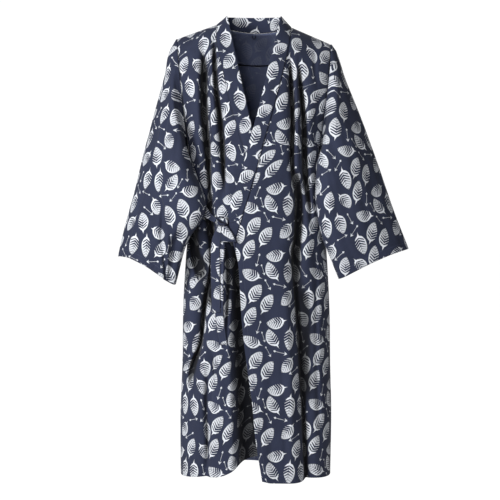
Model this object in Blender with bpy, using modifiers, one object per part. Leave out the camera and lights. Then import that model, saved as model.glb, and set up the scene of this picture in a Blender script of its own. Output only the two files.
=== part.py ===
# Kimono robe with a wrapped front, wide sleeves and a tied waist, filled out as when it is worn.
# Metres, +Z up. The front faces -Y and the wearer's left is at +X.
# The origin is midway between the shoulders, where the wearer carries the robe.

import math
from collections import namedtuple

import bmesh
import bpy
from mathutils import Vector

# Cloth and seams
WALL = 0.0014
TIE_WALL = 0.0018
SEAM_GAP = 0.0003
SEAM_STEP = 0.008

# Main sizes of the cut
ROBE_LENGTH = 1.150
ARMPIT_DROP = 0.300
ARMHOLE_DEPTH = 0.065
NECK_HALF_WIDTH = 0.095
NECK_BACK_DEPTH = 0.045
NECK_POINT_HEIGHT = 0.010
SHOULDER_POINT_HEIGHT = -0.030
SHOULDER_TILT = 0.035
SHOULDER_SETTLES_BY = 0.25
FACING_DROP = 0.085
BAND_STAND = 0.038
BAND_LEAN = 0.008
BAND_SIDE_LEAN = 0.018
BAND_SIDE_DIP = 0.005
BAND_LIES_DOWN_BY = 0.070

# Shape of the worn body of the robe
FRONT = -1
BACK = 1
ROLL = {FRONT: 0.16, BACK: 0.10}
SQUARENESS = 2.4
OVERLAP_LIFT = 0.0045
FOLD_FADE = 0.07
SLEEVE_CLEARANCE = 0.007
ARMPIT_CLEARANCE = 0.0026
CLEARANCE_GROWS_FROM = 0.320
CLEARANCE_FULL_AT = 0.380
SHOULDER_RUNS_ON = 1.2
ARMHOLE_WIDEST_SHARE = 0.97
SMALLEST_DROP = 1e-7

# Where the lapped front lifts off the one below it, down from the neck and across to its side seam
LIFT_STARTS_AT = 0.10
LIFT_FULL_AT = 0.22
LIFT_FADES_FROM = 0.110
LIFT_GONE_AT = 0.150

# Fineness of the grids
ARMHOLE_ANGLES = (0, 3, 15, 30, 45, 60, 75, 90, 105, 120, 135, 150, 165, 177, 180)
NECKLINE_ANGLES = (-72, -54, -36, -18, 0, 18, 36, 54, 72)
ROWS_BELOW_ARMPIT = 13
BAND_TIP_ROW = 4
FRONT_COLUMNS = 24
BACK_SIDE_COLUMNS = 6
BAND_COLUMNS = 2

Section = namedtuple("Section", "drop centre_x side front_depth back_depth")
SECTIONS = (
    Section(0.00, 0.000, 0.197, 0.102, 0.094),
    Section(0.10, 0.000, 0.190, 0.112, 0.104),
    Section(0.20, 0.000, 0.181, 0.120, 0.109),
    Section(0.30, 0.000, 0.172, 0.122, 0.107),
    Section(0.42, 0.003, 0.169, 0.118, 0.101),
    Section(0.53, 0.006, 0.179, 0.118, 0.104),
    Section(0.71, 0.006, 0.190, 0.122, 0.112),
    Section(0.87, 0.006, 0.193, 0.124, 0.118),
    Section(0.99, 0.005, 0.197, 0.125, 0.121),
    Section(1.15, 0.004, 0.196, 0.126, 0.122),
)

# Free edge of the neckband, and the seam between the band and the front panel
Edge = namedtuple("Edge", "drop free_x seam_x")
OVER_EDGE = (
    Edge(0.000, 0.062, 0.095),
    Edge(0.050, 0.051, 0.088),
    Edge(0.100, 0.038, 0.077),
    Edge(0.190, 0.016, 0.053),
    Edge(0.256, -0.002, 0.034),
    Edge(0.301, -0.015, 0.021),
    Edge(0.371, -0.033, 0.003),
    Edge(0.441, -0.057, -0.018),
    Edge(0.476, -0.064, -0.029),
    Edge(0.547, -0.050, -0.047),
    Edge(0.600, -0.039, -0.039),
    Edge(0.748, -0.030, -0.030),
    Edge(0.853, -0.018, -0.018),
    Edge(0.947, -0.005, -0.005),
    Edge(1.035, 0.003, 0.003),
    Edge(1.150, 0.021, 0.021),
)
UNDER_EDGE = (
    Edge(0.000, -0.062, -0.095),
    Edge(0.050, -0.053, -0.095),
    Edge(0.100, -0.042, -0.083),
    Edge(0.196, -0.019, -0.060),
    Edge(0.259, -0.004, -0.041),
    Edge(0.301, 0.009, -0.028),
    Edge(0.371, 0.028, -0.008),
    Edge(0.441, 0.048, 0.012),
    Edge(0.476, 0.060, 0.026),
    Edge(0.547, 0.079, 0.076),
    Edge(0.600, 0.092, 0.092),
    Edge(0.748, 0.100, 0.100),
    Edge(1.150, 0.104, 0.104),
)

# Hem of each front, from its side seam or free edge across
Hem = namedtuple("Hem", "x drop")
OVER_HEM = (
    Hem(0.021, 1.144),
    Hem(0.045, 1.150),
    Hem(0.120, 1.151),
    Hem(0.155, 1.146),
    Hem(0.200, 1.150),
)
UNDER_HEM = (
    Hem(-0.192, 1.150),
    Hem(-0.165, 1.145),
    Hem(-0.130, 1.139),
    Hem(-0.090, 1.136),
    Hem(-0.060, 1.124),
    Hem(-0.035, 1.106),
    Hem(0.000, 1.094),
    Hem(0.104, 1.090),
)

# Troughs in the panels. A flatness of 2 is a soft trough, and of 4 a flat floor with steep sides
Fold = namedtuple("Fold", "top_x bottom_x top_drop bottom_drop depth left_width right_width flatness")
OVER_FOLDS = (
    Fold(0.094, 0.096, 0.05, 0.39, 0.009, 0.011, 0.011, 2),
    Fold(0.120, 0.130, 0.09, 0.45, 0.011, 0.013, 0.012, 2),
    Fold(0.118, 0.112, 0.40, 0.60, 0.014, 0.018, 0.014, 2),
    Fold(0.104, 0.142, 0.52, 1.30, 0.019, 0.024, 0.018, 2),
    Fold(0.040, 0.062, 0.66, 1.30, 0.006, 0.028, 0.028, 2),
)
UNDER_FOLDS = (
    Fold(-0.124, -0.122, 0.05, 0.47, 0.014, 0.012, 0.014, 2),
    Fold(-0.083, -0.082, 0.16, 0.49, 0.009, 0.010, 0.010, 2),
    Fold(-0.110, -0.162, 0.46, 0.86, 0.024, 0.017, 0.019, 2),
    Fold(-0.104, -0.126, 0.76, 1.30, 0.010, 0.012, 0.010, 2),
    Fold(-0.036, -0.012, 0.48, 1.30, 0.052, 0.030, 0.300, 4),
)
BACK_FOLDS = (
    Fold(-0.118, -0.136, 0.12, 1.30, 0.012, 0.020, 0.016, 2),
    Fold(-0.046, -0.070, 0.46, 1.30, 0.010, 0.022, 0.018, 2),
    Fold(0.030, 0.022, 0.58, 1.30, 0.009, 0.020, 0.022, 2),
    Fold(0.084, 0.100, 0.30, 0.92, 0.011, 0.016, 0.020, 2),
    Fold(0.128, 0.146, 0.10, 1.30, 0.012, 0.016, 0.018, 2),
)

# Sleeve rings from the armhole to the cuff: the outer point, the underarm point, half the thickness,
# and how far the front and back of the ring are raised
Ring = namedtuple("Ring", "place outer_x outer_y outer_z under_x under_y under_z half_depth rise")
RIGHT_RINGS = (
    Ring(1, -0.214, 0.000, -0.046, -0.172, -0.010, -0.309, 0.068, 0.000),
    Ring(2, -0.223, 0.000, -0.074, -0.166, -0.035, -0.323, 0.070, 0.000),
    Ring(3, -0.230, -0.002, -0.117, -0.155, -0.068, -0.346, 0.070, 0.000),
    Ring(4, -0.253, -0.004, -0.208, -0.143, -0.098, -0.385, 0.066, 0.000),
    Ring(5, -0.277, -0.008, -0.306, -0.130, -0.117, -0.427, 0.061, 0.000),
    Ring(6, -0.303, -0.010, -0.410, -0.128, -0.123, -0.472, 0.055, 0.000),
    Ring(7, -0.328, -0.010, -0.500, -0.173, -0.108, -0.546, 0.050, 0.007),
    Ring(8, -0.350, -0.008, -0.583, -0.201, -0.080, -0.651, 0.047, 0.024),
)
LEFT_RINGS = (
    Ring(1, 0.211, 0.000, -0.052, 0.172, -0.010, -0.309, 0.068, 0.000),
    Ring(2, 0.222, 0.000, -0.084, 0.166, -0.035, -0.323, 0.070, 0.000),
    Ring(3, 0.237, -0.002, -0.130, 0.158, -0.060, -0.347, 0.070, 0.000),
    Ring(4, 0.278, -0.004, -0.236, 0.157, -0.083, -0.400, 0.066, 0.000),
    Ring(5, 0.315, -0.006, -0.340, 0.159, -0.090, -0.456, 0.060, 0.000),
    Ring(6, 0.351, -0.008, -0.440, 0.172, -0.085, -0.524, 0.055, 0.000),
    Ring(7, 0.378, -0.008, -0.508, 0.196, -0.072, -0.586, 0.051, 0.005),
    Ring(8, 0.400, -0.006, -0.562, 0.217, -0.052, -0.638, 0.050, 0.013),
)
SLEEVE_PLACES = (1, 1.5, 2, 2.5, 3, 4, 5, 6, 7, 8)
SLEEVE_STUB = 0.003

Crease = namedtuple("Crease", "top_angle bottom_angle top_place bottom_place depth width")
RIGHT_CREASES = (
    Crease(78, 92, 3.4, 8.8, 0.006, 13),
    Crease(150, 158, 6.2, 8.8, 0.014, 10),
    Crease(48, 52, 1.2, 5.0, 0.005, 12),
    Crease(285, 270, 3.4, 8.8, 0.007, 14),
    Crease(222, 230, 4.2, 8.8, 0.009, 12),
)
LEFT_CREASES = (
    Crease(112, 118, 2.2, 7.0, 0.007, 13),
    Crease(55, 62, 2.0, 7.5, 0.005, 14),
    Crease(270, 262, 3.4, 8.8, 0.007, 14),
    Crease(228, 222, 4.2, 8.8, 0.009, 12),
)

# Tie straps, as places on the front with their width and how far they stand off the panel
Strap = namedtuple("Strap", "x drop width out")
SIDE_STRAP = (
    Strap(-0.152, 0.440, 0.022, 0.0028),
    Strap(-0.144, 0.446, 0.022, 0.0028),
    Strap(-0.128, 0.459, 0.021, 0.0032),
    Strap(-0.112, 0.475, 0.017, 0.0052),
    Strap(-0.0937, 0.4875, 0.011, 0.0085),
)
FRONT_STRAP = (
    Strap(-0.040, 0.478, 0.019, 0.0067),
    Strap(-0.051, 0.484, 0.015, 0.0070),
    Strap(-0.0606, 0.4875, 0.010, 0.0085),
)
LONG_END = (
    Strap(-0.083, 0.5010, 0.013, 0.0048),
    Strap(-0.090, 0.522, 0.018, 0.0047),
    Strap(-0.095, 0.548, 0.022, 0.0046),
    Strap(-0.096, 0.600, 0.023, 0.0046),
    Strap(-0.095, 0.660, 0.022, 0.0046),
    Strap(-0.094, 0.718, 0.022, 0.0046),
)
SHORT_END = (
    Strap(-0.074, 0.5010, 0.012, 0.0024),
    Strap(-0.080, 0.530, 0.016, 0.0023),
    Strap(-0.085, 0.590, 0.020, 0.0023),
    Strap(-0.087, 0.660, 0.021, 0.0023),
    Strap(-0.086, 0.730, 0.021, 0.0023),
    Strap(-0.077, 0.798, 0.019, 0.0026),
)
BOW_LOOP = (
    Strap(-0.072, 0.5008, 0.016, 0.0072),
    Strap(-0.067, 0.519, 0.027, 0.0070),
    Strap(-0.062, 0.535, 0.037, 0.0078),
    Strap(-0.061, 0.5395, 0.040, 0.0115),
    Strap(-0.062, 0.535, 0.037, 0.0155),
    Strap(-0.066, 0.518, 0.027, 0.0165),
    Strap(-0.072, 0.5008, 0.016, 0.0140),
)
KNOT_PLACE = Strap(-0.077, 0.4885, 0.0, 0.0108)
KNOT_HALF_SIZE = Vector((0.0140, 0.0078, 0.0120))
KNOT_ROUNDNESS = 0.62
KNOT_FINENESS = (14, 9)
STRAP_STEPS = 3
STRAP_COLUMNS = (-0.5, 0.0, 0.5)
BOW_COLUMNS = (-0.5, -0.25, 0.0, 0.25, 0.5)
PATH_STEP = 0.05

# Hanging loop inside the back of the neck
LOOP_HALF_WIDTH = 0.0045
LOOP_TOP_DROP = 0.018
LOOP_LENGTH = 0.008
LOOP_RADIUS = 0.0008
LOOP_STANDS_IN = 0.0048
LOOP_STEPS = 8

# Colour and roughness of each material
COTTON = ((0.035, 0.042, 0.088), 0.85)
INSIDE_COTTON = ((0.050, 0.058, 0.105), 0.88)
TIE_COTTON = ((0.038, 0.045, 0.092), 0.85)
LOOP_CORD = ((0.012, 0.012, 0.014), 0.70)


def ease(value):
    value = min(1.0, max(0.0, value))
    return value * value * (3.0 - 2.0 * value)


def signed_power(value, power):
    return math.copysign(abs(value) ** power, value)


def read(rows, key, place, column):
    """Smooth value of one named column, at a place between the table's rows."""
    keys = [getattr(row, key) for row in rows]
    values = [getattr(row, column) for row in rows]
    if place <= keys[0]:
        return values[0]
    if place >= keys[-1]:
        return values[-1]
    low = max(i for i in range(len(keys) - 1) if keys[i] <= place)

    def slope(i):
        before, after = max(i - 1, 0), min(i + 1, len(keys) - 1)
        return (values[after] - values[before]) / (keys[after] - keys[before])

    span = keys[low + 1] - keys[low]
    t = (place - keys[low]) / span
    start, end = values[low], values[low + 1]
    return (start * (1 + 2 * t) * (1 - t) ** 2 + slope(low) * span * t * (1 - t) ** 2
            + end * t * t * (3 - 2 * t) + slope(low + 1) * span * t * t * (t - 1))


def smooth_row(rows, place):
    """Row of a strap or path table, read smoothly by its position in the table."""
    Numbered = namedtuple("Numbered", ("number",) + rows[0]._fields)
    numbered = [Numbered(number, *row) for number, row in enumerate(rows)]
    return [read(numbered, "number", place, column) for column in rows[0]._fields]


def height_at(x, drop):
    """Height of a point that hangs a given drop below the sloping shoulder line."""
    along = (abs(x) - NECK_HALF_WIDTH) / (SECTIONS[0].side - NECK_HALF_WIDTH)
    along = min(SHOULDER_RUNS_ON, max(0.0, along))
    shoulder = NECK_POINT_HEIGHT + (SHOULDER_POINT_HEIGHT - NECK_POINT_HEIGHT) * along
    return -drop + shoulder * (1.0 - ease(drop / SHOULDER_SETTLES_BY))


def armhole_half_depth(z):
    """Half the front-to-back opening of the armhole at a height."""
    bottom = -ARMPIT_DROP
    middle = (SHOULDER_POINT_HEIGHT + bottom) / 2
    level = (z - middle) / (SHOULDER_POINT_HEIGHT - middle)
    return ARMHOLE_DEPTH * math.sqrt(max(0.0, 1.0 - level * level))


def outline(drop, face):
    """Centre, side distance, half width, depth and roll of one section of the body."""
    centre = read(SECTIONS, "drop", drop, "centre_x")
    side = read(SECTIONS, "drop", drop, "side")
    depth = read(SECTIONS, "drop", drop, "front_depth" if face == FRONT else "back_depth")
    drop = max(drop, SMALLEST_DROP)
    roll = math.sqrt(1.0 - (1.0 - min(1.0, drop / ROLL[face])) ** 2)
    reach = min(ARMHOLE_WIDEST_SHARE, armhole_half_depth(height_at(side, drop)) / (depth * roll))
    half_width = side / (1.0 - reach ** SQUARENESS) ** (1.0 / SQUARENESS)
    return centre, side, half_width, depth, roll


def fold_depth(folds, x, drop):
    total = 0.0
    for fold in folds:
        if not fold.top_drop < drop < fold.bottom_drop:
            continue
        share = (drop - fold.top_drop) / (min(fold.bottom_drop, ROBE_LENGTH) - fold.top_drop)
        offset = x - (fold.top_x + (fold.bottom_x - fold.top_x) * share)
        width = fold.left_width if offset < 0 else fold.right_width
        ends = ease((drop - fold.top_drop) / FOLD_FADE) * ease((fold.bottom_drop - drop) / FOLD_FADE)
        total += fold.depth * ends * math.exp(-abs(offset / width) ** fold.flatness)
    return total


def body_point(x, drop, face, out=0.0, folds=()):
    """Point of the worn body of the robe, moved out along its normal."""
    centre, _, half_width, depth, roll = outline(drop, face)
    across = min(1.0, max(-1.0, (x - centre) / half_width))
    forward = (1.0 - abs(across) ** SQUARENESS) ** (1.0 / SQUARENESS)
    normal = Vector((signed_power(across, SQUARENESS - 1) / half_width,
                     face * forward ** (SQUARENESS - 1) / depth, 0.0)).normalized()
    normal = normal * roll + Vector((0.0, 0.0, math.sqrt(max(0.0, 1.0 - roll * roll))))
    tilt = SHOULDER_TILT * x * (1.0 - ease(drop / SHOULDER_SETTLES_BY))
    point = Vector((centre + half_width * across, face * depth * roll * forward, height_at(x, drop) - tilt))
    point.y += face * SEAM_GAP / 2
    return point + normal * (out - fold_depth(folds, x, drop))


def column_x(drop, face, inner_x, side_sign, share):
    """Place of a column, from the panel's inner edge at 0 to its armhole or side seam at 1."""
    centre, side, half_width, _, _ = outline(drop, face)

    def angle(x):
        return math.asin(signed_power(max(-1.0, min(1.0, (x - centre) / half_width)), SQUARENESS / 2))

    start = angle(inner_x)
    turn = start + (angle(centre + side_sign * side) - start) * share
    return centre + half_width * signed_power(math.sin(turn), 2 / SQUARENESS)


def panel_drops():
    """Drops of the rows that all body panels share, close together at the shoulder and the armpit."""
    drops = [ARMPIT_DROP / 2 * (1 - math.cos(math.radians(angle))) for angle in ARMHOLE_ANGLES]
    step = (ROBE_LENGTH - ARMPIT_DROP) / ROWS_BELOW_ARMPIT
    return drops + [ARMPIT_DROP + step * (row + 1) for row in range(ROWS_BELOW_ARMPIT)]


def even_shares(count):
    """Even steps from 0 to 1, with a narrow first and last one that square the wall to its seams."""
    return [0.0, SEAM_STEP] + [i / count for i in range(1, count)] + [1.0 - SEAM_STEP, 1.0]


def new_material(name, finish):
    colour, roughness = finish
    material = bpy.data.materials.new(name)
    material.use_nodes = True
    shader = material.node_tree.nodes["Principled BSDF"]
    shader.inputs["Base Color"].default_value = (*colour, 1.0)
    shader.inputs["Roughness"].default_value = roughness
    shader.inputs["Metallic"].default_value = 0.0
    return material


def add_object(name, mesh_builder, material, collection, wall=None):
    mesh = bpy.data.meshes.new(name)
    mesh_builder.to_mesh(mesh)
    mesh_builder.free()
    mesh.materials.append(material)
    mesh.shade_smooth()
    piece = bpy.data.objects.new(name, mesh)
    collection.objects.link(piece)
    if wall:
        solidify = piece.modifiers.new("Wall", "SOLIDIFY")
        solidify.thickness = wall
        solidify.offset = 0.0
        solidify.use_quality_normals = True
    return piece


def cloth(name, columns, rows, place, material, collection, wall=WALL, closed=False):
    """Cloth wall on a grid, each point of which comes from a function of its column and row."""
    grid = bmesh.new()
    across, along = len(columns) - 1, len(rows) - 1
    bmesh.ops.create_grid(grid, x_segments=across, y_segments=along, size=0.5)
    for vertex in grid.verts:
        column = columns[round((vertex.co.x + 0.5) * across)]
        row = rows[round((vertex.co.y + 0.5) * along)]
        vertex.co = place(column, row)
    if closed:
        bmesh.ops.remove_doubles(grid, verts=grid.verts, dist=1e-6)
    return add_object(name, grid, material, collection, wall)


def over_lift(x, drop):
    """How far the lapped front stands off the one below it."""
    down = ease((drop - LIFT_STARTS_AT) / (LIFT_FULL_AT - LIFT_STARTS_AT))
    return OVERLAP_LIFT * down * (1.0 - ease((x - LIFT_FADES_FROM) / (LIFT_GONE_AT - LIFT_FADES_FROM)))


def no_lift(x, drop):
    return 0.0


def front_panel(name, side_sign, edges, folds, lift, hem, material, collection):
    tip_drop = panel_drops()[len(ARMHOLE_ANGLES) - 1 + BAND_TIP_ROW]

    def across(share, drop):
        inner_x = read(edges, "drop", drop, "seam_x")
        if drop <= tip_drop:
            inner_x += side_sign * SEAM_GAP / 2
        return column_x(drop, FRONT, inner_x, side_sign, share)

    def place(share, drop):
        if drop > tip_drop:
            hem_here = read(hem, "x", across(share, ROBE_LENGTH), "drop")
            below = (drop - tip_drop) / (ROBE_LENGTH - tip_drop)
            drop = tip_drop + below * (hem_here - tip_drop)
        x = across(share, drop)
        return body_point(x, drop, FRONT, lift(x, drop), folds)

    return cloth(name, even_shares(FRONT_COLUMNS), panel_drops(), place, material, collection)


def neckline_drop(x):
    """Drop of the back neckline below the shoulder line."""
    inside = max(0.0, 1.0 - (x / NECK_HALF_WIDTH) ** 2)
    depth = outline(0.0, BACK)[3]
    roll = NECK_BACK_DEPTH * math.sqrt(inside) / depth
    return ROLL[BACK] * (1.0 - math.sqrt(1.0 - roll * roll))


def back_columns():
    """Places across the back: the neckline's columns, then even ones out to each armhole."""
    inner = [NECK_HALF_WIDTH * math.sin(math.radians(angle)) for angle in (-90, *NECKLINE_ANGLES, 90)]
    steps = BACK_SIDE_COLUMNS
    outer = [i / steps for i in range(1, steps)] + [1.0 - 2 * SEAM_STEP, 1.0]
    left = [("side", 1, share) for share in outer]
    right = [("side", -1, share) for share in reversed(outer)]
    return right + [("neck", x, 0.0) for x in inner] + left


def below_neckline(x, drop, out=0.0):
    """Point of the back on a column that starts at the neckline."""
    top = neckline_drop(x)
    return body_point(x, top + drop / ROBE_LENGTH * (ROBE_LENGTH - top), BACK, out, BACK_FOLDS)


def back_panel(material, collection):
    def place(column, drop):
        kind, first, share = column
        if kind == "neck":
            return below_neckline(first, drop)
        x = column_x(drop, BACK, first * NECK_HALF_WIDTH, first, share)
        return body_point(x, drop, BACK, 0.0, BACK_FOLDS)

    return cloth("back_panel", back_columns(), panel_drops(), place, material, collection)


def back_neck_facing(material, collection):
    """Facing inside the back of the neck, made from the back's own points moved in."""
    columns = [NECK_HALF_WIDTH * math.sin(math.radians(angle)) for angle in NECKLINE_ANGLES]
    rows = [drop for drop in panel_drops() if 0.0 < drop < FACING_DROP]

    def place(x, drop):
        return below_neckline(x, drop, -(WALL + SEAM_GAP))

    return cloth("back_neck_facing", columns, rows, place, material, collection)


def band_rows():
    """Stations along the band: down to up the lapped edge, round the neck, down the other edge."""
    front = panel_drops()[:len(ARMHOLE_ANGLES) + BAND_TIP_ROW]
    neck = [NECK_HALF_WIDTH * math.sin(math.radians(angle)) for angle in reversed(NECKLINE_ANGLES)]
    return ([("over", drop) for drop in reversed(front)] + [("neck", x) for x in neck]
            + [("under", drop) for drop in front])


def neckband(material, collection):
    clear = WALL / 2 + SEAM_GAP

    def stand_up(seam):
        """Free edge of the band where it stands round the neck, leaning in."""
        inward = Vector((-seam.x / NECK_HALF_WIDTH, -max(0.0, seam.y) / NECK_BACK_DEPTH, 0.0))
        beside = abs(seam.x / NECK_HALF_WIDTH) ** 3
        lean = BAND_LEAN + BAND_SIDE_LEAN * beside
        rise = BAND_STAND - BAND_SIDE_DIP * beside - seam.z - clear
        return seam + inward * lean + Vector((0.0, 0.0, rise))

    def place(across, station):
        kind, value = station
        if kind == "neck":
            seam = body_point(value, neckline_drop(value), BACK)
            seam.z += clear
            return seam.lerp(stand_up(seam), across)
        edges, side_sign = (OVER_EDGE, 1) if kind == "over" else (UNDER_EDGE, -1)
        seam_x = read(edges, "drop", value, "seam_x") - side_sign * SEAM_GAP / 2
        free_x = read(edges, "drop", value, "free_x")
        lift = over_lift if kind == "over" else no_lift
        folds = OVER_FOLDS if kind == "over" else UNDER_FOLDS
        stand = 1.0 - ease(value / BAND_LIES_DOWN_BY)
        seam = body_point(seam_x, value, FRONT, lift(seam_x, value), folds)
        seam.z += clear * stand
        x = seam_x + (free_x - seam_x) * across
        flat = body_point(x, value, FRONT, lift(x, value), folds)
        flat.z += clear * stand * (1.0 - across)
        return flat.lerp(seam.lerp(stand_up(seam), across), stand)

    shares = [i / BAND_COLUMNS for i in range(BAND_COLUMNS + 1)]
    return cloth("neckband", shares, band_rows(), place, material, collection)


def clear_of_body(point):
    """Moves a sleeve point that would lie inside the body out to just in front of it."""
    drop = -point.z
    if drop < SHOULDER_SETTLES_BY:
        return point
    grown = ease((drop - CLEARANCE_GROWS_FROM) / (CLEARANCE_FULL_AT - CLEARANCE_GROWS_FROM))
    clearance = ARMPIT_CLEARANCE + (SLEEVE_CLEARANCE - ARMPIT_CLEARANCE) * grown
    face = FRONT if point.y < 0 else BACK
    centre, side, half_width, depth, _ = outline(drop, face)
    if abs(point.x - centre) > side + clearance:
        return point
    across = abs(point.x - centre) / (half_width + clearance)
    forward = abs(point.y) / (depth + clearance)
    inside = across ** SQUARENESS + forward ** SQUARENESS
    if inside >= 1.0:
        return point
    scale = inside ** (-1.0 / SQUARENESS)
    return Vector((centre + (point.x - centre) * scale, point.y * scale, point.z))


def armhole_point(side_sign, angle):
    """Point of the armhole's edge: the shoulder at 0, the front at 90, the armpit at 180 degrees."""
    face = FRONT if angle <= 180 else BACK
    around = angle if angle <= 180 else 360 - angle
    drop = ARMPIT_DROP / 2 * (1 - math.cos(math.radians(around)))
    centre, side, _, _, _ = outline(drop, face)
    point = body_point(centre + side_sign * side, drop, face)
    if around in (0, 180):
        point.y = 0.0
    return point


def sleeve_ring_point(rings, creases, place, angle):
    """Point on one ring of a sleeve, with the sleeve's creases pressed in."""
    values = [read(rings, "place", place, column) for column in Ring._fields[1:]]
    outer, under = Vector(values[0:3]), Vector(values[3:6])
    half_depth, rise = values[6:8]
    middle, reach = (outer + under) / 2, (outer - under) / 2
    to_front = Vector((0.0, -1.0, 0.0))
    to_front -= reach * (to_front.dot(reach) / reach.length_squared)
    to_front.z = 0.0
    turn = math.radians(angle)
    point = middle + reach * math.cos(turn) + to_front.normalized() * (half_depth * math.sin(turn))
    point.z += rise * math.sin(turn) ** 2
    for crease in creases:
        if not crease.top_place < place < crease.bottom_place:
            continue
        share = (place - crease.top_place) / (min(crease.bottom_place, rings[-1].place) - crease.top_place)
        offset = angle - (crease.top_angle + (crease.bottom_angle - crease.top_angle) * share)
        ends = ease(place - crease.top_place) * ease(crease.bottom_place - place)
        press = crease.depth * ends * math.exp(-(offset / crease.width) ** 2)
        point += (middle - point).normalized() * press
    return clear_of_body(point)


def sleeve(name, side_sign, rings, creases, material, collection):
    angles = list(ARMHOLE_ANGLES) + [360 - angle for angle in reversed(ARMHOLE_ANGLES[:-1])]
    start = side_sign * (WALL / 2 + SEAM_GAP)

    def place(angle, row):
        if row in ("seam", "stub"):
            outward = start if row == "seam" else start + side_sign * SLEEVE_STUB
            return armhole_point(side_sign, angle) + Vector((outward, 0.0, 0.0))
        return sleeve_ring_point(rings, creases, row, angle % 360)

    rows = ["seam", "stub"] + list(SLEEVE_PLACES)
    return cloth(name, angles, rows, place, material, collection, closed=True)


def strap(name, rows, material, collection):
    """Flat strap along a path on the front, its width square to the path."""
    stations = [i / STRAP_STEPS for i in range((len(rows) - 1) * STRAP_STEPS + 1)]

    def square_to_path(place):
        before = smooth_row(rows, max(0.0, place - PATH_STEP))
        after = smooth_row(rows, min(len(rows) - 1.0, place + PATH_STEP))
        run = Vector((after[0] - before[0], after[1] - before[1]))
        return Vector((-run.y, run.x)).normalized()

    def place(across, station):
        x, drop, width, out = smooth_row(rows, station)
        square = square_to_path(station)
        return body_point(x + square.x * width * across, drop + square.y * width * across, FRONT, out)

    return cloth(name, STRAP_COLUMNS, stations, place, material, collection, wall=TIE_WALL)


def bow_loop(material, collection):
    """Hanging loop of the bow: one strap that runs down, turns at the bottom and comes back up."""
    stations = [i / STRAP_STEPS for i in range((len(BOW_LOOP) - 1) * STRAP_STEPS + 1)]

    def place(across, station):
        x, drop, width, out = smooth_row(BOW_LOOP, station)
        return body_point(x + width * across, drop, FRONT, out)

    return cloth("tie_bow_loop", BOW_COLUMNS, stations, place, material, collection, wall=TIE_WALL)


def tie_knot(material, collection):
    knot = bmesh.new()
    around, along = KNOT_FINENESS
    bmesh.ops.create_uvsphere(knot, u_segments=around, v_segments=along, radius=1.0)
    middle = body_point(KNOT_PLACE.x, KNOT_PLACE.drop, FRONT, KNOT_PLACE.out)
    for vertex in knot.verts:
        rounded = [signed_power(value, KNOT_ROUNDNESS) for value in vertex.co]
        vertex.co = middle + Vector([value * half for value, half in zip(rounded, KNOT_HALF_SIZE)])
    return add_object("tie_knot", knot, material, collection)


def neck_loop(material, collection):
    """Small cord loop that hangs inside the back of the neck."""
    path = bpy.data.curves.new("neck_loop", "CURVE")
    path.dimensions = "3D"
    path.bevel_depth = LOOP_RADIUS
    path.bevel_resolution = 2
    path.use_fill_caps = True
    path.materials.append(material)
    spline = path.splines.new("POLY")
    spline.points.add(LOOP_STEPS)
    for number, point in enumerate(spline.points):
        turn = math.pi * number / LOOP_STEPS
        drop = LOOP_TOP_DROP + LOOP_LENGTH * math.sin(turn)
        place = body_point(LOOP_HALF_WIDTH * math.cos(turn), drop, BACK, -LOOP_STANDS_IN)
        point.co = (*place, 1.0)
    piece = bpy.data.objects.new("neck_loop", path)
    collection.objects.link(piece)
    return piece


def build():
    for old in list(bpy.data.objects):
        bpy.data.objects.remove(old, do_unlink=True)
    collection = bpy.data.collections.new("kimono_robe")
    bpy.context.scene.collection.children.link(collection)

    back_panel(new_material("back cotton", COTTON), collection)
    front_panel("front_left_over", 1, OVER_EDGE, OVER_FOLDS, over_lift, OVER_HEM,
                new_material("left front cotton", COTTON), collection)
    front_panel("front_right_under", -1, UNDER_EDGE, UNDER_FOLDS, no_lift, UNDER_HEM,
                new_material("right front cotton", COTTON), collection)
    sleeve("sleeve_left", 1, LEFT_RINGS, LEFT_CREASES, new_material("left sleeve cotton", COTTON), collection)
    sleeve("sleeve_right", -1, RIGHT_RINGS, RIGHT_CREASES, new_material("right sleeve cotton", COTTON),
           collection)
    neckband(new_material("neckband cotton", COTTON), collection)
    back_neck_facing(new_material("facing cotton", INSIDE_COTTON), collection)
    neck_loop(new_material("loop cord", LOOP_CORD), collection)
    strap("tie_side_strap", SIDE_STRAP, new_material("side strap cotton", TIE_COTTON), collection)
    strap("tie_front_strap", FRONT_STRAP, new_material("front strap cotton", TIE_COTTON), collection)
    strap("tie_end_long", LONG_END, new_material("long end cotton", TIE_COTTON), collection)
    strap("tie_end_short", SHORT_END, new_material("short end cotton", TIE_COTTON), collection)
    bow_loop(new_material("bow loop cotton", TIE_COTTON), collection)
    tie_knot(new_material("knot cotton", TIE_COTTON), collection)


build()
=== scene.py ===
"""Looks of a kimono robe in printed navy cotton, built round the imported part.

Metres, +Z up, the front faces -Y and the wearer's left is at +X.
Each piece of cloth repeats its solid's form from the same sizes, with the creases, seams and hems added.
"""

import math
from collections import namedtuple
from functools import lru_cache

import bmesh
import bpy
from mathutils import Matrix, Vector, noise


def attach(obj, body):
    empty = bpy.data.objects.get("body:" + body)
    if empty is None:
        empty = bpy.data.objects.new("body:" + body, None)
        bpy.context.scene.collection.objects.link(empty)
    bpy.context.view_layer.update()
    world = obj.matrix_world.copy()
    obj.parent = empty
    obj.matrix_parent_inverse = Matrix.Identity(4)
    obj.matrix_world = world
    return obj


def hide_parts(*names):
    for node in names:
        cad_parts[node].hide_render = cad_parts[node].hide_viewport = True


# Thickness of the sewn layers
CLOTH = 0.0006
BAND_CLOTH = 0.0020
TIE_CLOTH = 0.0016

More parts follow.
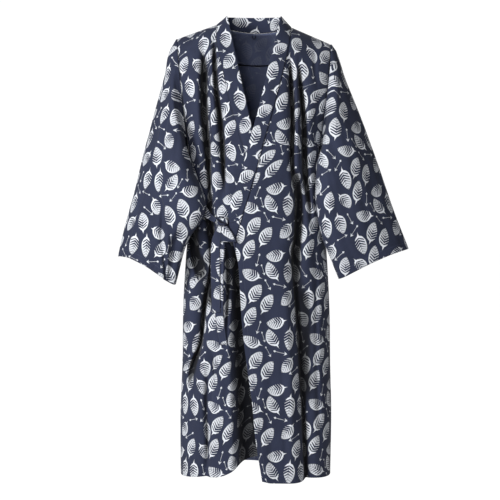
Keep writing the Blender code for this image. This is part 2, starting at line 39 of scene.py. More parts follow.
# Main sizes of the cut
ROBE_LENGTH = 1.150
ARMPIT_DROP = 0.300
ARMHOLE_DEPTH = 0.065
NECK_HALF_WIDTH = 0.095
NECK_BACK_DEPTH = 0.045
NECK_POINT_HEIGHT = 0.010
SHOULDER_POINT_HEIGHT = -0.030
SHOULDER_TILT = 0.035
SHOULDER_SETTLES_BY = 0.25
SHOULDER_RUNS_ON = 1.2
BAND_STAND = 0.038
BAND_LEAN = 0.008
BAND_SIDE_LEAN = 0.018
BAND_SIDE_DIP = 0.005
BAND_LIES_DOWN_BY = 0.070
BAND_TIP_DROP = 0.5615
SEAM_LIFT = 0.0006
BAND_PLUMP = 0.0014
BAND_STANDS_OFF = 0.0004

# Shape of the worn body of the robe
FRONT = -1
BACK = 1
ROLL = {FRONT: 0.16, BACK: 0.10}
SQUARENESS = 2.4
OVERLAP_LIFT = 0.0045
FOLD_FADE = 0.07
# Share of the main troughs' depth that adds to the painted fold shade
BROAD_FOLD_SHADE_SHARE = 0.30
SLEEVE_CLEARANCE = 0.007
ARMPIT_CLEARANCE = 0.0014
CLEARANCE_GROWS_FROM = 0.320
CLEARANCE_FULL_AT = 0.380
ARMHOLE_WIDEST_SHARE = 0.97
SMALLEST_DROP = 1e-7
WAVE_BROAD = 0.0012
WAVE_SMALL = 0.0005
WAVE_STARTS_OVER = 0.08
WAVE_ENDS_OVER = 0.05
LINE_SWAY = 0.35
LINE_STARTS_OVER = 0.24
LINE_ENDS_OVER = 0.30
LIFT_STARTS_AT = 0.10
LIFT_FULL_AT = 0.22
LIFT_FADES_FROM = 0.110
LIFT_GONE_AT = 0.150

# Sewing, and the painted shade along the armhole seam and the band's seam
HEM_DEPTH = 0.020
FRONT_HEM_DEPTH = 0.013
CUFF_HEM_DEPTH = 0.018
STITCH_LENGTH = 0.0032
SEAM_DIP = 0.0011
SEAM_DIP_REACH = 0.0026
ARMHOLE_SHADE = 0.010
BAND_SEAM_SHADE = 0.008
ARMHOLE_SHADE_REACH = 0.006
ARMHOLE_SHADE_FADE = 0.05
ARMHOLE_SHADE_BELOW = 0.02
BAND_SHADE_REACH = 0.08

# A distance past every edge, a hem depth that no point has, and a drop below the lowest row
FAR = 1.0
NO_HEM = 2.0
NO_ROW = 2.0

# Fineness of the grids
FRONT_COLUMNS = 132
BACK_COLUMNS = 150
BODY_ROWS = 170
SHOULDER_ROWS = 46
SLEEVE_COLUMNS = 180
SLEEVE_ROWS = 104
BAND_COLUMNS = 16
BAND_FRONT_ROWS = 110
BAND_ROW_SPREAD = 1.15
FACING_COLUMNS = 60
FACING_ROWS = 20
LAST_ROW_DEPTH = 0.0015
SEAM_CLOSE_STEPS = (0.0, 0.0025, 0.006)
MERGE_REACH = 1e-6

Section = namedtuple("Section", "drop centre_x side front_depth back_depth")
SECTIONS = (
    Section(0.00, 0.000, 0.197, 0.102, 0.094),
    Section(0.10, 0.000, 0.190, 0.112, 0.104),
    Section(0.20, 0.000, 0.181, 0.120, 0.109),
    Section(0.30, 0.000, 0.172, 0.122, 0.107),
    Section(0.42, 0.003, 0.169, 0.118, 0.101),
    Section(0.53, 0.006, 0.179, 0.118, 0.104),
    Section(0.71, 0.006, 0.190, 0.122, 0.112),
    Section(0.87, 0.006, 0.193, 0.124, 0.118),
    Section(0.99, 0.005, 0.197, 0.125, 0.121),
    Section(1.15, 0.004, 0.196, 0.126, 0.122),
)

Edge = namedtuple("Edge", "drop free_x seam_x")
OVER_EDGE = (
    Edge(0.000, 0.062, 0.095),
    Edge(0.050, 0.051, 0.088),
    Edge(0.100, 0.038, 0.077),
    Edge(0.190, 0.016, 0.053),
    Edge(0.256, -0.002, 0.034),
    Edge(0.301, -0.015, 0.021),
    Edge(0.371, -0.033, 0.003),
    Edge(0.441, -0.057, -0.018),
    Edge(0.476, -0.064, -0.029),
    Edge(0.547, -0.050, -0.047),
    Edge(0.600, -0.039, -0.039),
    Edge(0.748, -0.030, -0.030),
    Edge(0.853, -0.018, -0.018),
    Edge(0.947, -0.005, -0.005),
    Edge(1.035, 0.003, 0.003),
    Edge(1.150, 0.021, 0.021),
)
UNDER_EDGE = (
    Edge(0.000, -0.062, -0.095),
    Edge(0.050, -0.053, -0.095),
    Edge(0.100, -0.042, -0.083),
    Edge(0.196, -0.019, -0.060),
    Edge(0.259, -0.004, -0.041),
    Edge(0.301, 0.009, -0.028),
    Edge(0.371, 0.028, -0.008),
    Edge(0.441, 0.048, 0.012),
    Edge(0.476, 0.060, 0.026),
    Edge(0.547, 0.079, 0.076),
    Edge(0.600, 0.092, 0.092),
    Edge(0.748, 0.100, 0.100),
    Edge(1.150, 0.104, 0.104),
)

Hem = namedtuple("Hem", "x drop")
OVER_HEM = (
    Hem(0.021, 1.144),
    Hem(0.045, 1.150),
    Hem(0.120, 1.151),
    Hem(0.155, 1.146),
    Hem(0.200, 1.150),
)
UNDER_HEM = (
    Hem(-0.192, 1.150),
    Hem(-0.165, 1.145),
    Hem(-0.130, 1.139),
    Hem(-0.090, 1.136),
    Hem(-0.060, 1.124),
    Hem(-0.035, 1.106),
    Hem(0.000, 1.094),
    Hem(0.104, 1.090),
)

# Main troughs, as in the solids
Fold = namedtuple("Fold", "top_x bottom_x top_drop bottom_drop depth left_width right_width flatness")
OVER_FOLDS = (
    Fold(0.094, 0.096, 0.05, 0.39, 0.009, 0.011, 0.011, 2),
    Fold(0.120, 0.130, 0.09, 0.45, 0.011, 0.013, 0.012, 2),
    Fold(0.118, 0.112, 0.40, 0.60, 0.014, 0.018, 0.014, 2),
    Fold(0.104, 0.142, 0.52, 1.30, 0.019, 0.024, 0.018, 2),
    Fold(0.040, 0.062, 0.66, 1.30, 0.006, 0.028, 0.028, 2),
)
UNDER_FOLDS = (
    Fold(-0.124, -0.122, 0.05, 0.47, 0.014, 0.012, 0.014, 2),
    Fold(-0.083, -0.082, 0.16, 0.49, 0.009, 0.010, 0.010, 2),
    Fold(-0.110, -0.162, 0.46, 0.86, 0.024, 0.017, 0.019, 2),
    Fold(-0.104, -0.126, 0.76, 1.30, 0.010, 0.012, 0.010, 2),
    Fold(-0.036, -0.012, 0.48, 1.30, 0.052, 0.030, 0.300, 4),
)
BACK_FOLDS = (
    Fold(-0.118, -0.136, 0.12, 1.30, 0.012, 0.020, 0.016, 2),
    Fold(-0.046, -0.070, 0.46, 1.30, 0.010, 0.022, 0.018, 2),
    Fold(0.030, 0.022, 0.58, 1.30, 0.009, 0.020, 0.022, 2),
    Fold(0.084, 0.100, 0.30, 0.92, 0.011, 0.016, 0.020, 2),
    Fold(0.128, 0.146, 0.10, 1.30, 0.012, 0.016, 0.018, 2),
)

# Finer creases, each a line on the panel. A depth below zero stands out as a ridge
Line = namedtuple("Line", "top_x top_drop bottom_x bottom_drop depth width")
OVER_LINES = (
    Line(0.093, 0.070, 0.098, 0.430, 0.0240, 0.0052),
    Line(0.112, 0.062, 0.146, 0.520, 0.0240, 0.0054),
    Line(0.104, 0.190, 0.109, 0.330, -0.0040, 0.0060),
    Line(0.108, 0.340, 0.113, 0.660, 0.0260, 0.0100),
    Line(0.101, 0.420, 0.100, 0.560, -0.0030, 0.0050),
    Line(0.101, 0.530, 0.154, 1.300, 0.0150, 0.0056),
    Line(0.122, 0.600, 0.152, 1.000, 0.0088, 0.0160),
    Line(0.150, 0.480, 0.170, 1.170, 0.0045, 0.0070),
    Line(0.082, 0.640, 0.098, 1.180, -0.0030, 0.0090),
    Line(0.020, 0.560, 0.040, 1.000, 0.0016, 0.0100),
    Line(0.060, 0.120, 0.030, 0.330, 0.0014, 0.0090),
    Line(-0.045, 0.500, 0.040, 0.560, 0.0020, 0.0060),
    Line(-0.040, 0.520, 0.060, 0.640, 0.0018, 0.0075),
    Line(-0.020, 0.470, 0.075, 0.440, 0.0016, 0.0070),
    Line(0.030, 0.900, 0.045, 1.160, 0.0022, 0.0085),
    Line(0.070, 0.800, 0.082, 1.170, 0.0020, 0.0080),
    Line(0.150, 0.030, 0.158, 0.160, 0.0030, 0.0060),
    Line(0.165, 0.150, 0.150, 0.300, 0.0030, 0.0070),
)
UNDER_LINES = (
    Line(-0.133, 0.030, -0.118, 0.470, 0.0270, 0.0066),
    Line(-0.104, 0.010, -0.072, 0.450, 0.0240, 0.0056),
    Line(-0.112, 0.120, -0.104, 0.360, -0.0030, 0.0060),
    Line(-0.113, 0.400, -0.118, 0.720, 0.0290, 0.0074),
    Line(-0.111, 0.580, -0.172, 0.940, 0.0290, 0.0076),
    Line(-0.153, 0.400, -0.152, 0.660, 0.0260, 0.0105),
    Line(-0.112, 0.490, -0.111, 0.740, 0.0160, 0.0050),
    Line(-0.069, 0.520, -0.068, 0.800, 0.0120, 0.0045),
    Line(-0.132, 0.520, -0.180, 0.740, -0.0030, 0.0070),
    Line(-0.122, 0.840, -0.126, 1.150, 0.0085, 0.0040),
    Line(-0.108, 0.820, -0.100, 0.930, 0.0060, 0.0030),
    Line(-0.098, 0.810, -0.094, 0.925, 0.0050, 0.0030),
    Line(-0.150, 0.800, -0.160, 1.160, 0.0035, 0.0080),
    Line(-0.076, 0.700, -0.074, 1.120, 0.0022, 0.0080),
    Line(-0.150, 0.470, -0.100, 0.500, 0.0050, 0.0055),
    Line(-0.158, 0.500, -0.110, 0.530, 0.0030, 0.0060),
    Line(-0.070, 0.530, -0.060, 0.700, 0.0020, 0.0060),
    Line(-0.176, 0.880, -0.178, 1.160, 0.0030, 0.0060),
)
BACK_LINES = (
    Line(-0.150, 0.110, -0.156, 0.560, 0.0050, 0.0080),
    Line(-0.124, 0.160, -0.140, 1.170, 0.0065, 0.0070),
    Line(-0.092, 0.520, -0.104, 1.180, 0.0030, 0.0090),
    Line(-0.052, 0.560, -0.074, 1.180, 0.0050, 0.0080),
    Line(-0.012, 0.440, -0.014, 1.170, 0.0026, 0.0100),
    Line(0.030, 0.660, 0.022, 1.170, 0.0050, 0.0080),
    Line(0.062, 0.420, 0.066, 1.180, 0.0028, 0.0090),
    Line(0.088, 0.360, 0.100, 0.860, 0.0060, 0.0070),
    Line(0.136, 0.150, 0.150, 1.170, 0.0065, 0.0070),
    Line(-0.100, 0.450, 0.000, 0.480, 0.0022, 0.0070),
    Line(0.020, 0.470, 0.110, 0.440, 0.0020, 0.0070),
    Line(-0.070, 0.500, 0.060, 0.515, 0.0018, 0.0080),
    Line(-0.080, 0.060, -0.120, 0.220, 0.0022, 0.0080),
    Line(0.080, 0.060, 0.118, 0.240, 0.0022, 0.0080),
)

# Sleeves: rings from the armhole to the cuff, as in the solids
Ring = namedtuple("Ring", "place outer_x outer_y outer_z under_x under_y under_z half_depth rise")
RIGHT_RINGS = (
    Ring(1, -0.214, 0.000, -0.046, -0.172, -0.010, -0.309, 0.068, 0.000),
    Ring(2, -0.223, 0.000, -0.074, -0.166, -0.035, -0.323, 0.070, 0.000),
    Ring(3, -0.230, -0.002, -0.117, -0.155, -0.068, -0.346, 0.070, 0.000),
    Ring(4, -0.253, -0.004, -0.208, -0.143, -0.098, -0.385, 0.066, 0.000),
    Ring(5, -0.277, -0.008, -0.306, -0.130, -0.117, -0.427, 0.061, 0.000),
    Ring(6, -0.303, -0.010, -0.410, -0.128, -0.123, -0.472, 0.055, 0.000),
    Ring(7, -0.328, -0.010, -0.500, -0.173, -0.108, -0.546, 0.050, 0.007),
    Ring(8, -0.350, -0.008, -0.583, -0.201, -0.080, -0.651, 0.047, 0.024),
)
LEFT_RINGS = (
    Ring(1, 0.211, 0.000, -0.052, 0.172, -0.010, -0.309, 0.068, 0.000),
    Ring(2, 0.222, 0.000, -0.084, 0.166, -0.035, -0.323, 0.070, 0.000),
    Ring(3, 0.237, -0.002, -0.130, 0.158, -0.060, -0.347, 0.070, 0.000),
    Ring(4, 0.278, -0.004, -0.236, 0.157, -0.083, -0.400, 0.066, 0.000),
    Ring(5, 0.315, -0.006, -0.340, 0.159, -0.090, -0.456, 0.060, 0.000),
    Ring(6, 0.351, -0.008, -0.440, 0.172, -0.085, -0.524, 0.055, 0.000),
    Ring(7, 0.378, -0.008, -0.508, 0.196, -0.072, -0.586, 0.051, 0.005),
    Ring(8, 0.400, -0.006, -0.562, 0.217, -0.052, -0.638, 0.050, 0.013),
)
SLEEVE_STUB = 0.003
SLEEVE_EDGE_STEPS = (0.0003, 0.0008, SLEEVE_STUB)
SLEEVE_CAP_SHARES = (0.3, 0.6, 0.85)
SLEEVE_CAP_ROWS = len(SLEEVE_EDGE_STEPS) + len(SLEEVE_CAP_SHARES)
SLEEVE_AXIS_TOP = 0.185
SLEEVE_AXIS_SPREAD = 0.12
SLEEVE_AXIS_FORWARD = 0.03
SLEEVE_AXIS_LENGTH = 0.6
GATHER_DEPTH = 0.0009
SLEEVE_WAVE = 0.0012
# Creases this narrow or narrower get their full depth as painted shade, wider ones less
FULLY_SHADED_CREASE_WIDTH = 2.0

Crease = namedtuple("Crease", "top_angle bottom_angle top_place bottom_place depth width")
RIGHT_CREASES = (
    Crease(78, 92, 3.4, 8.8, 0.006, 13),
    Crease(150, 158, 6.2, 8.8, 0.014, 10),
    Crease(48, 52, 1.2, 5.0, 0.005, 12),
    Crease(285, 270, 3.4, 8.8, 0.007, 14),
    Crease(222, 230, 4.2, 8.8, 0.009, 12),
    Crease(66, 70, 3.2, 9.4, -0.0028, 4),
    Crease(104, 118, 2.6, 7.2, 0.0028, 7),
    Crease(128, 120, 4.8, 8.6, 0.0032, 6),
    Crease(78, 150, 5.3, 9.2, 0.0085, 4),
    Crease(86, 158, 5.3, 9.2, -0.0045, 4),
    Crease(70, 80, 2.8, 6.0, 0.0036, 4),
    Crease(30, 26, 2.4, 6.4, 0.0022, 7),
    Crease(305, 300, 2.0, 7.2, 0.0034, 7),
    Crease(252, 246, 3.6, 8.8, 0.0034, 7),
)
LEFT_CREASES = (
    Crease(112, 118, 2.2, 7.0, 0.007, 13),
    Crease(55, 62, 2.0, 7.5, 0.005, 14),
    Crease(270, 262, 3.4, 8.8, 0.007, 14),
    Crease(228, 222, 4.2, 8.8, 0.009, 12),
    Crease(84, 88, 3.0, 8.8, 0.0022, 6),
    Crease(134, 128, 3.4, 8.6, 0.0030, 6),
    Crease(36, 40, 2.6, 8.6, 0.0024, 7),
    Crease(150, 146, 1.4, 4.6, 0.0040, 6),
    Crease(300, 296, 2.4, 7.8, 0.0032, 7),
    Crease(246, 240, 3.2, 8.8, 0.0034, 7),
)

# Tie straps, as places on the front with their width and how far they stand off the panel
Strap = namedtuple("Strap", "x drop width out")
SIDE_STRAP = (
    Strap(-0.152, 0.440, 0.022, 0.0028),
    Strap(-0.144, 0.446, 0.022, 0.0028),
    Strap(-0.128, 0.459, 0.021, 0.0032),
    Strap(-0.112, 0.475, 0.017, 0.0052),
    Strap(-0.0937, 0.4875, 0.011, 0.0085),
)
FRONT_STRAP = (
    Strap(-0.040, 0.478, 0.019, 0.0067),
    Strap(-0.051, 0.484, 0.015, 0.0070),
    Strap(-0.0606, 0.4875, 0.010, 0.0085),
)
LONG_END = (
    Strap(-0.083, 0.5010, 0.013, 0.0048),
    Strap(-0.090, 0.522, 0.018, 0.0047),
    Strap(-0.095, 0.548, 0.022, 0.0046),
    Strap(-0.096, 0.600, 0.023, 0.0046),
    Strap(-0.095, 0.660, 0.022, 0.0046),
    Strap(-0.094, 0.718, 0.022, 0.0046),
)
SHORT_END = (
    Strap(-0.074, 0.5010, 0.012, 0.0024),
    Strap(-0.080, 0.530, 0.016, 0.0023),
    Strap(-0.085, 0.590, 0.020, 0.0023),
    Strap(-0.087, 0.660, 0.021, 0.0023),
    Strap(-0.086, 0.730, 0.021, 0.0023),
    Strap(-0.077, 0.798, 0.019, 0.0026),
)
BOW_LOOP = (
    Strap(-0.072, 0.5008, 0.016, 0.0072),
    Strap(-0.067, 0.519, 0.027, 0.0070),
    Strap(-0.062, 0.535, 0.037, 0.0078),
    Strap(-0.061, 0.5395, 0.040, 0.0115),
    Strap(-0.062, 0.535, 0.037, 0.0155),
    Strap(-0.066, 0.518, 0.027, 0.0165),
    Strap(-0.072, 0.5008, 0.016, 0.0140),
)
KNOT_PLACE = Strap(-0.077, 0.4885, 0.0, 0.0108)
KNOT_HALF_SIZE = Vector((0.0140, 0.0078, 0.0120))
KNOT_ROUNDNESS = 0.62
KNOT_GROOVE = 0.16
KNOT_PINCH = 0.05
KNOT_GROOVE_SHADE = 0.02
KNOT_ON_BOLT = (0.052, 0.080)
STRAP_STEPS = 10
STRAP_COLUMNS = 12
PATH_STEP = 0.05
STRAP_EDGE_SHADE = 0.009
STRAP_WAVE = 0.0005
LOOP_PLEAT = 0.0007
TIE_HEM = 0.0022
TIE_EDGE_HEM = 0.0018

# Facing, the near-black strip of painted shadow along its lower edge, and hanging loop inside the back of the
# neck
FACING_TOP = 0.0006
FACING_DROP = 0.076
FACING_HALF_WIDTH = 0.0905
FACING_STANDS_IN = 0.0016
FACING_TUCK = 0.0005
FACING_TUCKS_IN_OVER = 0.012
SHADOW_LINE_WIDTH = 0.0030
SHADOW_LINE_SWELL = 0.0011
SHADOW_LINE_CLOTH = 0.0005
SHADOW_LINE_ROWS = 10
LOOP_HALF_WIDTH = 0.0045
LOOP_TOP_DROP = 0.013
LOOP_LENGTH = 0.008
LOOP_RADIUS = 0.0008
LOOP_STANDS_IN = 0.0048
LOOP_STEPS = 24

# The printed repeat: each motif's middle, the turn of its tip, its length, its width and its bend
REPEAT = (0.200, 0.168)
Motif = namedtuple("Motif", "across up turn length width bend")
LEAVES = (
    Motif(0.033, 0.035, -35, 0.050, 0.33, 0.10),
    Motif(0.020, 0.084, 64, 0.046, 0.34, -0.10),
    Motif(0.020, 0.145, -27, 0.052, 0.30, 0.14),
    Motif(0.109, 0.024, 139, 0.044, 0.35, 0.08),
    Motif(0.073, 0.092, 27, 0.048, 0.32, -0.14),
    Motif(0.062, 0.010, -32, 0.051, 0.31, 0.06),
    Motif(0.081, 0.131, 98, 0.045, 0.35, -0.10),
    Motif(0.114, 0.087, 175, 0.053, 0.30, 0.12),
    Motif(0.140, 0.146, -19, 0.047, 0.33, -0.06),
    Motif(0.152, 0.083, -175, 0.049, 0.32, 0.10),
    Motif(0.178, 0.133, -154, 0.043, 0.35, -0.08),
    Motif(0.191, 0.016, -176, 0.051, 0.31, 0.12),
)
ARROWS = (
    Motif(0.038, 0.118, 162, 0.034, 0.0, 0.0),
    Motif(0.151, 0.050, -80, 0.030, 0.0, 0.0),
    Motif(0.130, 0.008, 114, 0.036, 0.0, 0.0),
    Motif(0.050, 0.094, -163, 0.028, 0.0, 0.0),
    Motif(0.184, 0.055, 131, 0.033, 0.0, 0.0),
    Motif(0.093, 0.055, -104, 0.036, 0.0, 0.0),
    Motif(0.062, 0.057, -152, 0.030, 0.0, 0.0),
    Motif(0.181, 0.087, -164, 0.032, 0.0, 0.0),
)

# Print, weave, relief, and the painted shade that darkens the colour in folds
PRINT_ROUGH_SCALE = 140.0
PRINT_ROUGHNESS = 0.0016
INSIDE_INK = 0.10
FACING_INK = 0.09
WEAVE_PITCH = 0.0009
SLUB_SCALES = ((1500.0, 60.0, 1.0), (60.0, 1500.0, 1.0))
WORN_LIGHTER = 1.22
FOLD_SHADE = 0.88
SHADE_FROM = 0.0030
SHADE_FULL_AT = 0.0125
WEAVE_RISE = 0.00010
CRUMPLE_RISE = 0.0010
HEM_RISE = 0.0004
INK_RISE = 0.00006

# Colours
NAVY = (0.024, 0.030, 0.060)
INK = (0.800, 0.830, 0.880)
# Inside of the cotton: its paler reverse side, made brighter still as painted light for light shining through
# the thin cloth
INSIDE_NAVY_AND_PAINTED_GLOW = (0.122, 0.144, 0.245)
# Near-black strip along the facing's lower edge: painted shadow line
SHADOW_LINE_BLACK = (0.006, 0.006, 0.012)
THREAD_NAVY = (0.060, 0.070, 0.120)
LOOP_BLACK = (0.010, 0.010, 0.012)

# Camera, lamps and floor
CAMERA_PLACE = Vector((-0.0104, -2.9, -0.411))
CAMERA_AIM = Vector((-0.0104, 0.0, -0.567))
CAMERA_LENS = 80.28
LAMP_AIM = Vector((0.0, 0.0, -0.5))
Lamp = namedtuple("Lamp", "name place size power")
LAMPS = (
    Lamp("key softbox", Vector((-2.6, -2.7, 0.8)), 1.2, 124.0),
    Lamp("front light", Vector((-0.7, -3.6, 0.5)), 0.9, 33.0),
    Lamp("right fill", Vector((2.2, -2.6, 0.1)), 1.8, 5.0),
    Lamp("back softbox", Vector((1.2, 3.2, 0.6)), 2.0, 40.0),
)
FLOOR_HEIGHT = -1.300


def ease(value):
    value = min(1.0, max(0.0, value))
    return value * value * (3.0 - 2.0 * value)


def signed_power(value, power):
    return math.copysign(abs(value) ** power, value)


def read(rows, key, place, column):
    """Smooth value of one named column, at a place between the table's rows."""
    keys = [getattr(row, key) for row in rows]
    values = [getattr(row, column) for row in rows]
    if place <= keys[0]:
        return values[0]
    if place >= keys[-1]:
        return values[-1]
    low = max(i for i in range(len(keys) - 1) if keys[i] <= place)

    def slope(i):
        before, after = max(i - 1, 0), min(i + 1, len(keys) - 1)
        return (values[after] - values[before]) / (keys[after] - keys[before])

    span = keys[low + 1] - keys[low]
    t = (place - keys[low]) / span
    start, end = values[low], values[low + 1]
    return (start * (1 + 2 * t) * (1 - t) ** 2 + slope(low) * span * t * (1 - t) ** 2
            + end * t * t * (3 - 2 * t) + slope(low + 1) * span * t * t * (t - 1))


def smooth_row(rows, place):
    """Row of a strap table, read smoothly by its position in the table."""
    Numbered = namedtuple("Numbered", ("number",) + rows[0]._fields)
    numbered = [Numbered(number, *row) for number, row in enumerate(rows)]
    return [read(numbered, "number", place, column) for column in rows[0]._fields]


def height_at(x, drop):
    """Height of a point that hangs a given drop below the sloping shoulder line."""
    along = (abs(x) - NECK_HALF_WIDTH) / (SECTIONS[0].side - NECK_HALF_WIDTH)
    along = min(SHOULDER_RUNS_ON, max(0.0, along))
    shoulder = NECK_POINT_HEIGHT + (SHOULDER_POINT_HEIGHT - NECK_POINT_HEIGHT) * along
    return -drop + shoulder * (1.0 - ease(drop / SHOULDER_SETTLES_BY))


def armhole_half_depth(z):
    """Half the front-to-back opening of the armhole at a height."""
    bottom = -ARMPIT_DROP
    middle = (SHOULDER_POINT_HEIGHT + bottom) / 2
    level = (z - middle) / (SHOULDER_POINT_HEIGHT - middle)
    return ARMHOLE_DEPTH * math.sqrt(max(0.0, 1.0 - level * level))


@lru_cache(maxsize=None)
def outline(drop, face):
    """Centre, side distance, half width, depth and roll of one section of the body."""
    centre = read(SECTIONS, "drop", drop, "centre_x")
    side = read(SECTIONS, "drop", drop, "side")
    depth = read(SECTIONS, "drop", drop, "front_depth" if face == FRONT else "back_depth")
    drop = max(drop, SMALLEST_DROP)
    roll = math.sqrt(1.0 - (1.0 - min(1.0, drop / ROLL[face])) ** 2)
    reach = min(ARMHOLE_WIDEST_SHARE, armhole_half_depth(height_at(side, drop)) / (depth * roll))
    half_width = side / (1.0 - reach ** SQUARENESS) ** (1.0 / SQUARENESS)
    return centre, side, half_width, depth, roll


def fold_depth(folds, x, drop):
    """Depth of the main troughs at one place."""
    total = 0.0
    for fold in folds:
        if not fold.top_drop < drop < fold.bottom_drop:
            continue
        share = (drop - fold.top_drop) / (min(fold.bottom_drop, ROBE_LENGTH) - fold.top_drop)
        offset = x - (fold.top_x + (fold.bottom_x - fold.top_x) * share)
        width = fold.left_width if offset < 0 else fold.right_width
        ends = ease((drop - fold.top_drop) / FOLD_FADE) * ease((fold.bottom_drop - drop) / FOLD_FADE)
        total += fold.depth * ends * math.exp(-abs(offset / width) ** fold.flatness)
    return total


def line_depth(lines, x, drop):
    """Depth of the finer creases at one place, each fading in and out along its own line."""
    total = 0.0
    for line in lines:
        run_x, run_drop = line.bottom_x - line.top_x, line.bottom_drop - line.top_drop
        length = math.hypot(run_x, run_drop)
        along = ((x - line.top_x) * run_x + (drop - line.top_drop) * run_drop) / length ** 2
        if not 0.0 < along < 1.0:
            continue
        offset = ((x - line.top_x) * run_drop - (drop - line.top_drop) * run_x) / length
        if abs(offset) > 3.0 * line.width:
            continue
        sway = LINE_SWAY * line.width * math.sin(9.0 * along + 40.0 * line.top_x)
        ends = ease(along / LINE_STARTS_OVER) * ease((1.0 - along) / LINE_ENDS_OVER)
        total += line.depth * ends * math.exp(-((offset - sway) / line.width) ** 2)
    return total


def cloth_wave(x, drop, face):
    """Slight unevenness of soft cloth, gone at the shoulder and side seams."""
    side = read(SECTIONS, "drop", drop, "side")
    fade = ease(drop / WAVE_STARTS_OVER) * ease((side - abs(x)) / WAVE_ENDS_OVER)
    broad = noise.noise(Vector((x * 16.0, drop * 5.0, 3.0 * face)))
    small = noise.noise(Vector((x * 52.0, drop * 15.0, 7.0 * face)))
    return fade * (WAVE_BROAD * broad + WAVE_SMALL * small)


def body_point(x, drop, face, out=0.0, folds=(), lines=()):
    """Point of the worn body of the robe, and how deep it lies in a fold, the depth that paints shade into
    its colour.
    """
    centre, _, half_width, depth, roll = outline(drop, face)
    across = min(1.0, max(-1.0, (x - centre) / half_width))
    forward = (1.0 - abs(across) ** SQUARENESS) ** (1.0 / SQUARENESS)
    normal = Vector((signed_power(across, SQUARENESS - 1) / half_width,
                     face * forward ** (SQUARENESS - 1) / depth, 0.0)).normalized()
    normal = normal * roll + Vector((0.0, 0.0, math.sqrt(max(0.0, 1.0 - roll * roll))))
    tilt = SHOULDER_TILT * x * (1.0 - ease(drop / SHOULDER_SETTLES_BY))
    z = height_at(x, drop) - tilt
    point = Vector((centre + half_width * across, face * depth * roll * forward, z))
    fine = line_depth(lines, x, drop)
    broad = fold_depth(folds, x, drop)
    wave = cloth_wave(x, drop, face) if lines else 0.0
    point += normal * (out + wave - broad)
    point.y -= face * fine
    return point, max(0.0, fine) + BROAD_FOLD_SHADE_SHARE * broad


def column_x(drop, face, inner_x, side_sign, share):
    """Place of a column, from the panel's inner edge at 0 to its armhole or side seam at 1."""
    centre, side, half_width, _, _ = outline(drop, face)

    def angle(x):
        return math.asin(signed_power(max(-1.0, min(1.0, (x - centre) / half_width)), SQUARENESS / 2))

    start = angle(inner_x)
    turn = start + (angle(centre + side_sign * side) - start) * share
    return centre + half_width * signed_power(math.sin(turn), 2 / SQUARENESS)


def even_steps(count):
    return [i / count for i in range(count + 1)]


def seam_steps(count):
    """Even steps from 0 to 1, closer together beside the seam at each end."""
    close = list(SEAM_CLOSE_STEPS)
    first = 1.0 / count
    middle = [i / count for i in range(1, count) if first <= i / count <= 1.0 - first]
    return close + middle + [1.0 - share for share in reversed(close)]


def panel_drops():
    """Drops of the rows of the body panels, close together at the shoulder."""
    shoulder = [ARMPIT_DROP / 2 * (1 - math.cos(math.pi * share)) for share in even_steps(SHOULDER_ROWS)]
    below = BODY_ROWS - SHOULDER_ROWS
    step = (ROBE_LENGTH - ARMPIT_DROP) / below
    drops = shoulder + [ARMPIT_DROP + step * (row + 1) for row in range(below)]
    return drops[:-1] + [ROBE_LENGTH - LAST_ROW_DEPTH, ROBE_LENGTH]


def flat_cut(points, middle, down=None, run=None):
    """Flat place of each point of the cloth in metres, across from one column and down from the top row.

    Where the cloth runs askew to its rows, run gives the direction that its threads follow at each row."""
    flat = []
    fall = [0.0] * len(points[0])
    sign = 1.0 if points[-1][-1].x > points[-1][0].x else -1.0
    for number, line in enumerate(points):
        if number:
            above = points[number - 1]
            if run:
                fall = [fall[middle] - (line[middle] - above[middle]).length] * len(line)
            elif down is None:
                fall = [low - (here - there).length for low, here, there in zip(fall, line, above)]
            else:
                step = (line[down] - above[down]).length
                fall = [low - step for low in fall]
        threads = run(points, number) if run else Vector((0.0, 0.0, 0.0))
        across = [0.0] * len(line)
        if down is not None:
            across[middle] = line[middle].x
        for column in range(middle + 1, len(line)):
            step = square_step(line[column], line[column - 1], threads)
            across[column] = across[column - 1] + sign * step
        for column in range(middle - 1, -1, -1):
            step = square_step(line[column + 1], line[column], threads)
            across[column] = across[column + 1] - sign * step
        fallen = [low - (point - line[middle]).dot(threads) for low, point in zip(fall, line)]
        flat.append(list(zip(across, fallen)))
    return flat


def square_step(here, there, threads):
    """Length of a step square to the threads."""
    step = here - there
    return math.sqrt(max(0.0, step.length_squared - step.dot(threads) ** 2))


def along_outer_line(points, number):
    """Direction of a sleeve's outer line, on which its cloth is folded."""
    middle = SLEEVE_COLUMNS // 2
    return (points[-1][middle] - points[SLEEVE_CAP_ROWS][middle]).normalized()


def along_band(points, number):
    """Direction of the neckband beside one row, along its seam."""
    before = points[max(0, number - 4)][0]
    after = points[min(len(points) - 1, number + 4)][0]
    return (after - before).normalized()


def from_body(point):
    return Vector((point.x, point.y, 0.0))


def cloth_layers(mesh_builder):
    """What the cotton's material reads: the flat cut, each point's depth for the painted shade in folds,
    seams and edges, and its hem and edge distance.
    """
    numbers = [mesh_builder.verts.layers.float.new(label) for label in ("fold", "hem", "edge")]
    return mesh_builder.loops.layers.uv.new("Cut"), numbers


